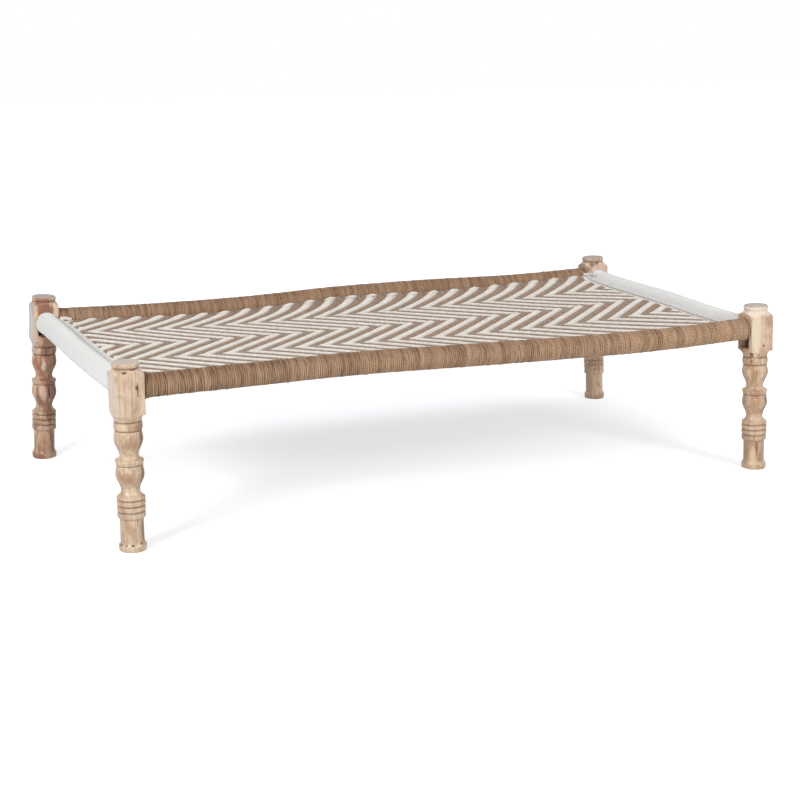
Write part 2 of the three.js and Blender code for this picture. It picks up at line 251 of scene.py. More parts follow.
def side_line(sizes, x, at_back):
    """Points of a side pole's axis above the places x: level between the joints, plus its bow."""
    rise = through_places(BACK_BOW if at_back else FRONT_BOW, x / sizes.bed_length + 0.5)
    y = np.full_like(x, sizes.bed_width / 2 if at_back else -sizes.bed_width / 2)
    return np.stack([x, y, sizes.side_joint_height + rise], -1)


def end_line(sizes, y, at_right):
    """Points of an end pole's axis above the places y: level between the joints, plus its bow."""
    rise = through_places(RIGHT_BOW if at_right else LEFT_BOW, y / sizes.bed_width + 0.5)
    x = np.full_like(y, sizes.bed_length / 2 if at_right else -sizes.bed_length / 2)
    return np.stack([x, y, sizes.end_joint_height + rise], -1)


# Shader nodes


class Tree:
    """Places and joins the nodes of one material or group."""

    def __init__(self, tree):
        self.tree = tree

    def add(self, kind, values=None, **settings):
        made = self.tree.nodes.new(kind)
        for key, value in settings.items():
            setattr(made, key, value)
        for key, value in (values or {}).items():
            if isinstance(value, bpy.types.NodeSocket):
                self.join(value, made.inputs[key])
            else:
                made.inputs[key].default_value = value
        return made

    def join(self, value, socket):
        self.tree.links.new(value, socket)

    def attribute(self, name):
        return self.add("ShaderNodeAttribute", attribute_name=name).outputs["Fac"]

    def bump(self, surface, strength, distance, height):
        """Bumps the surface by the height, in shares of the distance."""
        made = self.add("ShaderNodeBump", {
            "Strength": strength, "Distance": distance, "Height": height,
        })
        self.join(made.outputs[0], surface.inputs["Normal"])

    def math(self, operation, a, b=0.0, c=0.0, clamp=False):
        made = self.add("ShaderNodeMath", {0: a, 1: b, 2: c}, operation=operation, use_clamp=clamp)
        return made.outputs[0]

    def vector(self, operation, a, b):
        return self.add("ShaderNodeVectorMath", {0: a, 1: b}, operation=operation).outputs[0]

    def mix(self, share, a, b, mode="MIX"):
        made = self.add(
            "ShaderNodeMix", {0: share, 6: a, 7: b}, data_type="RGBA", blend_type=mode,
        )
        return made.outputs[2]

    def ramp(self, value, low, high, to_low=0.0, to_high=1.0):
        """Rises smoothly from to_low at low to to_high at high."""
        made = self.add(
            "ShaderNodeMapRange", {0: value, 1: low, 2: high, 3: to_low, 4: to_high},
            interpolation_type="SMOOTHSTEP",
        )
        return made.outputs[0]

    def noise(self, vector, scale, detail=3.0, rough=0.5, distortion=0.0):
        made = self.add("ShaderNodeTexNoise", {
            "Vector": vector, "Scale": scale, "Detail": detail, "Roughness": rough,
            "Distortion": distortion,
        })
        return made.outputs["Fac"]

    def stretched(self, vector, scale, location=(0.0, 0.0, 0.0)):
        made = self.add("ShaderNodeMapping", {
            "Vector": vector, "Location": location, "Scale": scale,
        })
        return made.outputs[0]


def group_tree(name, inputs, outputs):
    """A new node group with named inputs and outputs, given as (name, kind, default)."""
    group = bpy.data.node_groups.new(name, "ShaderNodeTree")
    for label, kind, default in inputs:
        made = group.interface.new_socket(name=label, in_out="INPUT", socket_type=kind)
        if default is not None:
            made.default_value = default
    for label, kind in outputs:
        group.interface.new_socket(name=label, in_out="OUTPUT", socket_type=kind)
    tree = Tree(group)
    return tree, tree.add("NodeGroupInput"), tree.add("NodeGroupOutput")


FLOAT, VECTOR, COLOUR = "NodeSocketFloat", "NodeSocketVector", "NodeSocketColor"

# The pith's place beside a leg's axis, the width of one ring, and what a dark streak leaves.
PITH = (24 * MM, -18 * MM, 0.0)
RING_WIDTH = 4.2 * MM
STREAK_TINT = (0.55, 0.38, 0.26, 1)


def cord_lay_group():
    """Twist and fibres of a cord: its strands run round as they run along, a sine of the two
    texture coordinates, and fine noise stretched along the strands makes the fibres."""
    name = "Cord lay"
    if name in bpy.data.node_groups:
        return bpy.data.node_groups[name]
    tree, given, out = group_tree(name, [
        ("Along", VECTOR, None), ("Place", VECTOR, None), ("Strands", FLOAT, 3.0),
        ("Pitch", FLOAT, 0.016), ("Fibre scale", FLOAT, 900.0),
    ], [("Hollow shade", FLOAT), ("Fibre", FLOAT), ("Height", FLOAT)])
    parts = tree.add("ShaderNodeSeparateXYZ", {0: given.outputs["Along"]})
    turns = tree.math("DIVIDE", parts.outputs["Y"], given.outputs["Pitch"])
    turned = tree.math("ADD", parts.outputs["X"], turns)
    phase = tree.math("MULTIPLY", turned, given.outputs["Strands"])
    wave = tree.math("SINE", tree.math("MULTIPLY", phase, 2 * math.pi))
    # The hollows between the strands, a mask for painted shade.
    hollow_shade = tree.ramp(wave, -0.2, -1.0)
    fibre = tree.noise(given.outputs["Place"], given.outputs["Fibre scale"], 2.0, 0.6)
    height = tree.math("MULTIPLY_ADD", fibre, 0.35, tree.math("MULTIPLY", wave, 0.5))
    for label, value in (("Hollow shade", hollow_shade), ("Fibre", fibre), ("Height", height)):
        tree.join(value, out.inputs[label])
    return tree.tree


def turned_wood_group():
    """Wood round an upright axis: rings are bands of the bent distance from a pith line beside
    the axis, heartwood and sapwood part at a broad noise, pores and cracks are noise stretched
    along the grain, cut to thin lines."""
    name = "Turned wood"
    if name in bpy.data.node_groups:
        return bpy.data.node_groups[name]
    tree, given, out = group_tree(name, [
        ("Place", VECTOR, None), ("Sapwood", COLOUR, None), ("Heartwood", COLOUR, None),
        ("Crack and shade colour", COLOUR, None), ("Heart share", FLOAT, 0.5), ("Heart edge", FLOAT, 0.06),
        ("Crack share", FLOAT, 0.5), ("Ring strength", FLOAT, 0.25), ("Seed", VECTOR, None),
        ("Hollow shade", FLOAT, 0.0), ("End grain", FLOAT, 0.0), ("End colour", COLOUR, None),
    ], [("Color", COLOUR), ("Roughness", FLOAT), ("Height", FLOAT)])
    get = given.outputs
    place = tree.vector("ADD", get["Place"], get["Seed"])
    broad = tree.noise(tree.stretched(place, (24, 24, 9)), 1.0, 3.0, 0.55, 0.8)
    low = tree.math("SUBTRACT", get["Heart share"], get["Heart edge"])
    high = tree.math("ADD", get["Heart share"], get["Heart edge"])
    heart = tree.ramp(broad, low, high, 1.0, 0.0)
    flat = tree.vector("MULTIPLY", get["Place"], (1.0, 1.0, 0.06))
    pith = tree.add("ShaderNodeVectorMath", {0: flat, 1: PITH}, operation="DISTANCE")
    bend = tree.noise(tree.stretched(place, (30, 30, 5)), 1.0, 2.0)
    reach = tree.math("MULTIPLY_ADD", bend, 0.014, pith.outputs["Value"])
    ring = tree.math("SINE", tree.math("MULTIPLY", reach, 2 * math.pi / RING_WIDTH))
    ring_share = tree.math("MULTIPLY", tree.ramp(ring, -0.4, 1.0), get["Ring strength"])
    streak = tree.noise(tree.stretched(place, (240, 240, 10)), 1.0, 4.0, 0.62)
    pore = tree.ramp(tree.noise(tree.stretched(place, (850, 850, 30)), 1.0, 1.0), 0.60, 0.74)
    vein = tree.noise(tree.stretched(place, (44, 44, 4.2)), 1.0, 2.0, 0.4, 0.5)
    line = tree.math("ABSOLUTE", tree.math("SUBTRACT", vein, 0.5))
    where = tree.noise(tree.stretched(place, (26, 26, 13), (3.1, 1.7, 0.4)), 1.0, 1.0)
    deep = tree.ramp(where, get["Crack share"], tree.math("ADD", get["Crack share"], 0.06))
    crack = tree.math("MULTIPLY", tree.ramp(line, 0.012, 0.002), deep)
    shadow = tree.math("MULTIPLY", tree.ramp(line, 0.05, 0.0), deep)
    dirt = tree.noise(get["Place"], 75.0, 4.0, 0.6)
    tint = tree.noise(tree.stretched(place, (70, 70, 30), (1.0, 2.0, 3.0)), 1.0, 3.0, 0.6)
    colour = tree.mix(heart, get["Sapwood"], get["Heartwood"])
    colour = tree.mix(tree.ramp(tint, 0.46, 0.70, 0.0, 0.60), colour, get["Heartwood"])
    colour = tree.mix(ring_share, colour, get["Heartwood"])
    streaks = tree.ramp(streak, 0.44, 0.70, 0.0, 0.48)
    colour = tree.mix(streaks, colour, STREAK_TINT, "MULTIPLY")
    colour = tree.mix(tree.math("MULTIPLY", pore, 0.22), colour, get["Crack and shade colour"])
    colour = tree.mix(tree.ramp(dirt, 0.54, 0.82, 0.0, 0.42), colour, get["Crack and shade colour"])
    colour = tree.mix(tree.math("MULTIPLY", shadow, 0.25), colour, get["Crack and shade colour"])
    # Painted shade in the grooves, creases and holes, by the hollow shade values.
    painted_shade = tree.math("MULTIPLY", get["Hollow shade"], 0.66, clamp=True)
    colour = tree.mix(painted_shade, colour, get["Crack and shade colour"])
    end_rings = tree.ramp(ring, -0.6, 0.9, 0.0, 0.16)
    end_rings = tree.mix(end_rings, get["End colour"], get["Crack and shade colour"])
    colour = tree.mix(get["End grain"], colour, end_rings)
    colour = tree.mix(crack, colour, get["Crack and shade colour"])
    rough = tree.math("MULTIPLY_ADD", streak, 0.25, 0.30)
    rough = tree.math("MULTIPLY_ADD", get["Hollow shade"], 0.3, rough)
    rough = tree.math("MULTIPLY_ADD", get["End grain"], 0.45, rough)
    height = tree.math("MULTIPLY_ADD", pore, -0.3, tree.math("MULTIPLY", streak, 0.5))
    height = tree.math("MULTIPLY_ADD", crack, -2.0, height)
    for label, value in (("Color", colour), ("Roughness", rough), ("Height", height)):
        tree.join(value, out.inputs[label])
    return tree.tree


def spot_group():
    """A soft mark: the distance from its centre in shares of its reach, made ragged by noise."""
    name = "Spot"
    if name in bpy.data.node_groups:
        return bpy.data.node_groups[name]
    tree, given, out = group_tree(name, [
        ("Place", VECTOR, None), ("Centre", VECTOR, None), ("Reach", VECTOR, (0.01, 0.01, 0.01)),
        ("Rough edge", FLOAT, 0.5), ("Softness", FLOAT, 0.15), ("Strength", FLOAT, 1.0),
    ], [("Mask", FLOAT)])
    get = given.outputs
    away = tree.vector("SUBTRACT", get["Place"], get["Centre"])
    share = tree.vector("DIVIDE", away, get["Reach"])
    far = tree.add("ShaderNodeVectorMath", {0: share}, operation="LENGTH").outputs["Value"]
    ragged = tree.noise(tree.stretched(get["Place"], (190, 190, 70)), 1.0, 4.0, 0.62)
    ragged = tree.math("MULTIPLY", tree.math("SUBTRACT", ragged, 0.5), get["Rough edge"])
    outer, inner = (tree.math(way, 1.0, get["Softness"]) for way in ("ADD", "SUBTRACT"))
    mask = tree.ramp(tree.math("ADD", far, ragged), outer, inner)
    tree.join(tree.math("MULTIPLY", mask, get["Strength"]), out.inputs["Mask"])
    return tree.tree


def new_material(name):
    """A material with its tree, its surface shader and its object coordinates."""
    material = bpy.data.materials.new(name)
    material.use_nodes = True
    tree = Tree(material.node_tree)
    surface = material.node_tree.nodes["Principled BSDF"]
    place = tree.add("ShaderNodeTexCoord").outputs["Object"]
    return material, tree, surface, place


# Each kind of cord: its colour in the light and its dark colour, which is painted in as shade in
# its hollows and on darker spots, the length of one twist, its strands, the depth of its
# hollows, its roughness and how uneven it is.
CORD_KINDS = {
    "jute_turns": ("jute", "jute_dark", 19 * MM, 2.0, 0.5 * MM, 0.85, 0.5),
    "cotton_turns": ("cotton_ends", "cotton_shade", 19 * MM, 3.0, 0.1 * MM, 0.8, 0.11),
    "cotton_strands": ("cotton", "cotton_shade", 14 * MM, 3.0, 0.4 * MM, 0.85, 0.45),
    "jute_strands": ("jute_woven", "jute_dark", 19 * MM, 2.0, 0.5 * MM, 0.88, 0.5),
    "cotton_header": ("cotton_ends", "cotton_shade", 12 * MM, 2.0, 0.8 * MM, 0.85, 0.5),
    "cotton_tie": ("cotton", "cotton_shade", 12 * MM, 2.0, 0.9 * MM, 0.85, 0.9),
}


def cord_material(colours, name):
    """Twisted cord: light on its strands, with painted shade in the hollows between them, uneven
    along it, and darker by its points' shade values, which hold random tone and painted shade."""
    light, dark, lay, strands, depth, rough, variation = CORD_KINDS[name]
    light, dark = (*getattr(colours, light), 1), (*getattr(colours, dark), 1)
    material, tree, surface, place = new_material(name)
    twist = tree.add("ShaderNodeGroup", {
        "Along": tree.add("ShaderNodeUVMap", uv_map="along").outputs[0],
        "Place": place, "Strands": strands, "Pitch": lay,
    }, node_tree=cord_lay_group())
    patches = tree.noise(place, 46.0, 3.0, 0.6)
    hairs = tree.noise(place, 620.0, 2.0, 0.7)
    # Painted shade in the hollows of the twist.
    hollow_shade = tree.math("MULTIPLY", twist.outputs["Hollow shade"], 0.5 * variation)
    colour = tree.mix(hollow_shade, light, dark)
    colour = tree.mix(tree.ramp(hairs, 0.42, 0.75, 0.0, variation), colour, dark)
    colour = tree.mix(tree.ramp(patches, 0.45, 0.80, 0.0, 0.2 * variation), colour, dark)
    shade = tree.math("MULTIPLY", tree.attribute("shade"), 1.0, clamp=True)
    tree.join(tree.mix(shade, colour, dark), surface.inputs["Base Color"])
    surface.inputs["Roughness"].default_value = rough
    surface.inputs["Specular IOR Level"].default_value = 0.25
    surface.inputs["Sheen Weight"].default_value = 0.15
    surface.inputs["Sheen Roughness"].default_value = 0.5
    tree.bump(surface, 0.9, depth, twist.outputs["Height"])
    return material


# Legs

# How much less than the block's half width each leg's block has after shaping and wear.
BLOCK_WEAR = {
    "leg_front_left": 0.6 * MM, "leg_front_right": 1.8 * MM,
    "leg_back_left": 1.2 * MM, "leg_back_right": 1.2 * MM,
}

# How much higher than the others a leg was turned.
LEG_RISE = {"leg_back_left": 4.5 * MM}

# The share of the turned part's radius that a leg was turned down to.
LEG_SLIM = {"leg_back_right": 0.95}

# Where each foot stands beside the point below its joint.
LEG_LEAN = {
    "leg_front_left": (0.0, -4 * MM),
    "leg_front_right": (13 * MM, -5 * MM),
    "leg_back_left": (-17 * MM, 4 * MM),
    "leg_back_right": (13 * MM, -8 * MM),
}

# Radii of the collar below the block, of the groove over it and of the cap, in that order, and
# how far below the leg's top the cove, the block's foot and the block's head are.
COLLAR, CAP_GROOVE, CAP = 33 * MM, 31 * MM, 33 * MM
COVE_DROP, FOOT_DROP, HEAD_DROP = 138.7 * MM, 123 * MM, 27.5 * MM

# The height of the shoulder over the block and the power of its curve.
SHOULDER, SHOULDER_POWER = 14 * MM, 1.6

# Shares of the lower and the upper shoulder's curve at which it has points.
LOWER_SHARES = (0.12, 0.3, 0.5, 0.68, 0.83, 0.94, 1.0)
UPPER_SHARES = (0.0, 0.06, 0.2, 0.4, 0.6, 0.8, 1.0)

# What the round blank stands out over the square block's edges, how far the block's first and
# last rings stand off its shoulders, and how far below the leg's top its edges' wear ends.
BLANK_MARGIN, RING_GAP, WEAR_DROP = 0.3 * MM, 0.9 * MM, 25 * MM

# Heights of the block's rings in millimetres, close together at the holes' ends.
BLOCK_LEVELS = (
    339.85, 340.15, 347, 353.85, 354.15, 362, 371, 380, 389, 398, 408.25, 408.55, 413.25, 413.55,
    419, 424,
)

# Radius and height of the cap's rings in millimetres.
CAP_RINGS = (
    (31, 445.2), (32.4, 446.2), (33, 447.5), (33.3, 450.5), (33, 453.5), (32.3, 455.2),
    (30.8, 456.4), (28, 457), (23.76, 457.3), (14.85, 457.2), (6.6, 457.3),
)

# The heights between which the holes for the side and end poles lie, what is added to half
# their width, and how much wider the hole for the end pole is worn on its outer side.
SIDE_HOLE, END_HOLE = (340 * MM, 413.4 * MM), (354 * MM, 408.4 * MM)
HOLE_PLAY = 0.06 * MM
HOLE_WEAR = {"leg_back_left": 5.5 * MM}

# How uneven the turning is, how deep the block's edges are chipped, and how far a leg runs on
# below the floor before it is cut level.
UNEVEN, CHIP_DEPTH, SOLE_DEPTH = 0.2 * MM, 0.7 * MM, 3 * MM

# Stations of the turning from the floor up: height and radius in millimetres, how the stretch
# below the station runs, and for a band its crest.
TURNING = (
    (0, 30.8, "line"), (1.5, 32.4, "line"), (9, 33.5, "wave"), (14.5, 33.1, "line"),
    (25, 28.7, "flare"), (79.5, 28.2, "line"), (95.5, 30.6, "band", 33.3),
    (96.9, 30.6, "groove"), (110.2, 30.6, "band", 33.7), (111.6, 30.6, "groove"),
    (125.0, 30.6, "band", 33.8), (126.4, 30.6, "groove"), (127.2, 33.0, "line"),
    (131.5, 33.9, "line"), (132.6, 33.3, "line"), (149.5, 22.4, "flare"),
    (187.5, 34.3, "wave"), (208.6, 31.8, "wave"), (209.4, 30.0, "line"),
    (211.0, 30.0, "groove"), (211.8, 32.2, "line"), (217.0, 32.7, "line"),
    (218.0, 34.0, "line"), (220.8, 34.5, "line"), (222.0, 33.7, "line"), (233, 22.8, "flare"),
    (273.5, 34.8, "wave"), (292.2, 32.2, "wave"), (293.2, 30.4, "line"),
    (295.0, 30.4, "groove"), (315.0, 30.8, "band", 34.4), (316.8, 30.6, "groove"),
    (317.4, 32.4, "line"), (318.3, 33.0, "line"),
)


def turning_profile():
    """Heights, radii and groove marks of the turned part: a wave is half a cosine between two
    stations, a flare falls by a power of the way to go, and a band is a flattened half ellipse
    standing on the line between its two grooves. The marks are painted shade: whole in a groove
    and at the row below it, and on a band darker towards its grooves."""
    (z0, r0, *_), *rest = TURNING
    heights, radii, marks = [z0], [r0], [0.0]
    for z1, r1, kind, *crest in rest:
        count = max(1, round((z1 - z0) / (1.2 if kind == "band" else 2.4)))
        t = np.arange(1, count + 1) / count
        ease = {
            "wave": (1 - np.cos(np.pi * t)) / 2, "flare": 1 - (1 - t) ** 2.4,
        }.get(kind, t)
        r = r0 + (r1 - r0) * ease
        if kind == "band":
            r += (crest[0] - r) * (1 - np.abs(2 * t - 1) ** 2.5).clip(0, 1) ** (1 / 2.5)
        heights.extend(z0 + (z1 - z0) * t)
        radii.extend(r)
        # Painted shade in a groove, and on a band towards its grooves.
        dark = np.full(count, float(kind == "groove"))
        marks.extend(0.75 * np.abs(2 * t - 1) ** 4 if kind == "band" else dark)
        if kind == "groove":
            marks[-count - 1] = 1.0
        z0, r0 = z1, r1
    return np.array(heights) * MM, np.array(radii) * MM, np.array(marks)


def block_columns():
    """Angles round a leg, in degrees: close beside the block's edges and the mortises' sides."""
    half = [0.0, 5.5, 11.0, 17.0, 22.35, 22.65, 28.0, 33.0, 38.0, 42.0, 43.0, 43.7, 44.4]
    quarter = np.array([-a for a in half[:0:-1]] + half + [45.0])
    return np.concatenate([quarter + 90 * k for k in range(4)])


def square_radius(angle, half, edge):
    """Distance from the axis to a square with rounded edges, at each angle in radians."""
    folded = np.abs((angle + np.pi / 4) % (np.pi / 2) - np.pi / 4)
    flat = half / np.cos(folded)
    inner = half - edge
    along = inner * (np.cos(folded) + np.sin(folded))
    round_it = along + np.sqrt(np.maximum(along**2 - 2 * inner**2 + edge**2, 0))
    return np.where(np.tan(folded) * half > inner, round_it, flat)


def leg_mesh(sizes, name, material, seed):
    """A leg as rings of points up its axis: the turned profile, then from each angle's crease
    between the lathe-cut shoulder and the square block up the block, over the upper shoulder,
    the cap and its end grain, pushed in where the mortises are, and leant about its joint. Its
    hollow shade values give painted shade in the grooves, at the cove, under the cap, in the holes
    and under the sole."""
    random = np.random.default_rng(seed)
    angle = np.radians(block_columns())
    columns = len(angle)
    cos, sin = np.cos(angle), np.sin(angle)
    heights, radii, marks = turning_profile()
    rise = LEG_RISE.get(name, 0.0)
    z = np.repeat(heights[:, None] * (1 + rise / heights[-1]), columns, 1)
    r = np.repeat(radii[:, None] * LEG_SLIM.get(name, 1.0), columns, 1)
    hollow_shade = np.repeat(marks[:, None], columns, 1)

    half = sizes.block_side / 2 - BLOCK_WEAR[name]
    square = square_radius(angle, half, sizes.block_edge)
    blank = half * math.sqrt(2) + BLANK_MARGIN
    top = sizes.leg_height + rise
    cove, low, high = top - COVE_DROP, top - FOOT_DROP, top - HEAD_DROP

    turn = np.arccos(np.clip(1 - (square - COLLAR) / (blank - COLLAR), -1, 1))
    share = np.array(LOWER_SHARES)[:, None]
    lower_z = cove + (low - cove) * np.sin(share * turn)
    lower_r = COLLAR + (blank - COLLAR) * (1 - np.cos(share * turn))
    crease = 1 - (square - CAP_GROOVE) / (blank - CAP_GROOVE)
    climb = crease + (1 - crease) * np.array(UPPER_SHARES)[:, None]
    upper_z = high + SHOULDER * climb ** SHOULDER_POWER
    upper_r = blank - (blank - CAP_GROOVE) * climb
    level = np.array(BLOCK_LEVELS)[:, None] * MM * np.ones(columns)
    block_z = np.concatenate([lower_z[-1:] + RING_GAP, level, upper_z[:1] - RING_GAP])
    block_r = np.repeat(square[None], len(block_z), 0)
    rim_r, rim_z = np.array(CAP_RINGS).T[:, :, None] * MM * np.ones(columns)
    rim_z = rim_z + rise
    z = np.concatenate([z, lower_z, block_z, upper_z, rim_z])
    r = np.concatenate([r, lower_r, block_r, upper_r, rim_r])
    rows = len(z)
    # Painted shade in the crease at the cove and in the groove under the cap.
    crease_shade = np.zeros((rows - len(hollow_shade), columns))
    crease_shade[:1] = 0.5
    crease_shade[-len(CAP_RINGS) - 1:1 - len(CAP_RINGS)] = 1.0
    hollow_shade = np.concatenate([hollow_shade, crease_shade])
    end_grain = np.zeros((rows, columns))
    end_grain[-5:] = 1.0

    waves = random.normal(0, 1, (6, 4))
    uneven = sum(
        w[0] * np.sin(k * angle[None] + 6 * w[1] + (18 + 30 * abs(w[2])) * z + w[3])
        for k, w in enumerate(waves, 1)
    ) * UNEVEN
    r = r + uneven * np.minimum(1, r / CAP)
    corner = np.clip((square[None] - 1.28 * half) / (0.1 * half), 0, 1)
    corner = corner * (z > low) * (z < top - WEAR_DROP)
    edge = 9 * np.round(angle[None] * 2 / np.pi)
    chips = sum(
        np.maximum(0, np.sin(w[0] * 3 + z * (300 + 90 * w[1]) + edge) - 0.5) for w in waves[:4]
    )
    r = r - corner * chips * CHIP_DEPTH

    px, py = r * cos, r * sin
    x_sign = 1 if "left" in name else -1
    y_sign = 1 if "front" in name else -1
    wide = sizes.mortise_width / 2 + HOLE_PLAY
    side_hole = (x_sign * px > 0.9 * half) & (np.abs(py) < wide)
    side_hole &= (z > SIDE_HOLE[0]) & (z < SIDE_HOLE[1])
    end_hole = (y_sign * py > 0.9 * half) & (px < wide) & (px > -wide - HOLE_WEAR.get(name, 0.0))
    end_hole &= (z > END_HOLE[0]) & (z < END_HOLE[1])
    floor_of_hole = half - sizes.mortise_depth
    px = np.where(side_hole, x_sign * floor_of_hole, px)
    py = np.where(end_hole, y_sign * floor_of_hole, py)
    # Painted shade inside the holes.
    hollow_shade = np.maximum(hollow_shade, (side_hole | end_hole) * 2.0)

    points = np.stack([px, py, z], -1)
    below = points[:1] * [0.985, 0.985, 0] + [0, 0, -SOLE_DEPTH]
    flat = np.concatenate([below, points]).reshape(-1, 3)
    flat = np.concatenate([flat, [[0, 0, -SOLE_DEPTH], [0, 0, z[-1].mean()]]])
    # Painted shade under the sole.
    hollow_shade = np.concatenate([hollow_shade[:1].ravel() * 0 + 0.4, hollow_shade.ravel(), [0.4, 0.3]])
    end_grain = np.concatenate([np.zeros(columns), end_grain.ravel(), [0, 1]])

    lean_x, lean_y = LEG_LEAN[name]
    joint = sizes.side_joint_height
    down = unit(np.array([lean_x, lean_y, -joint]))
    axis = np.cross([0, 0, -1.0], down)
    flat[:, 2] -= joint
    if np.linalg.norm(axis) > 0:
        turn_by = math.asin(np.linalg.norm(axis))
        k = unit(axis)
        flat = (
            flat * math.cos(turn_by) + np.cross(k, flat) * math.sin(turn_by)
            + k * (flat @ k)[:, None] * (1 - math.cos(turn_by))
        )
    flat[:, 2] = np.maximum(flat[:, 2] + joint, 0)
    flat[:, 0] += -x_sign * sizes.bed_length / 2
    flat[:, 1] += -y_sign * sizes.bed_width / 2

    index = np.arange((rows + 1) * columns).reshape(rows + 1, columns)
    after = np.roll(index, -1, axis=1)
    quads = np.stack([index[:-1], after[:-1], after[1:], index[1:]], -1).reshape(-1, 4)
    bottom = np.stack([np.full(columns, index.size), after[0], index[0]], -1)
    cap_fan = np.stack([np.full(columns, index.size + 1), index[-1], after[-1]], -1)
    return build_mesh(
        name + "_turned", flat, [quads, np.concatenate([bottom, cap_fan])], material,
        shades={"hollow_shade": hollow_shade, "end_grain": end_grain},
    )
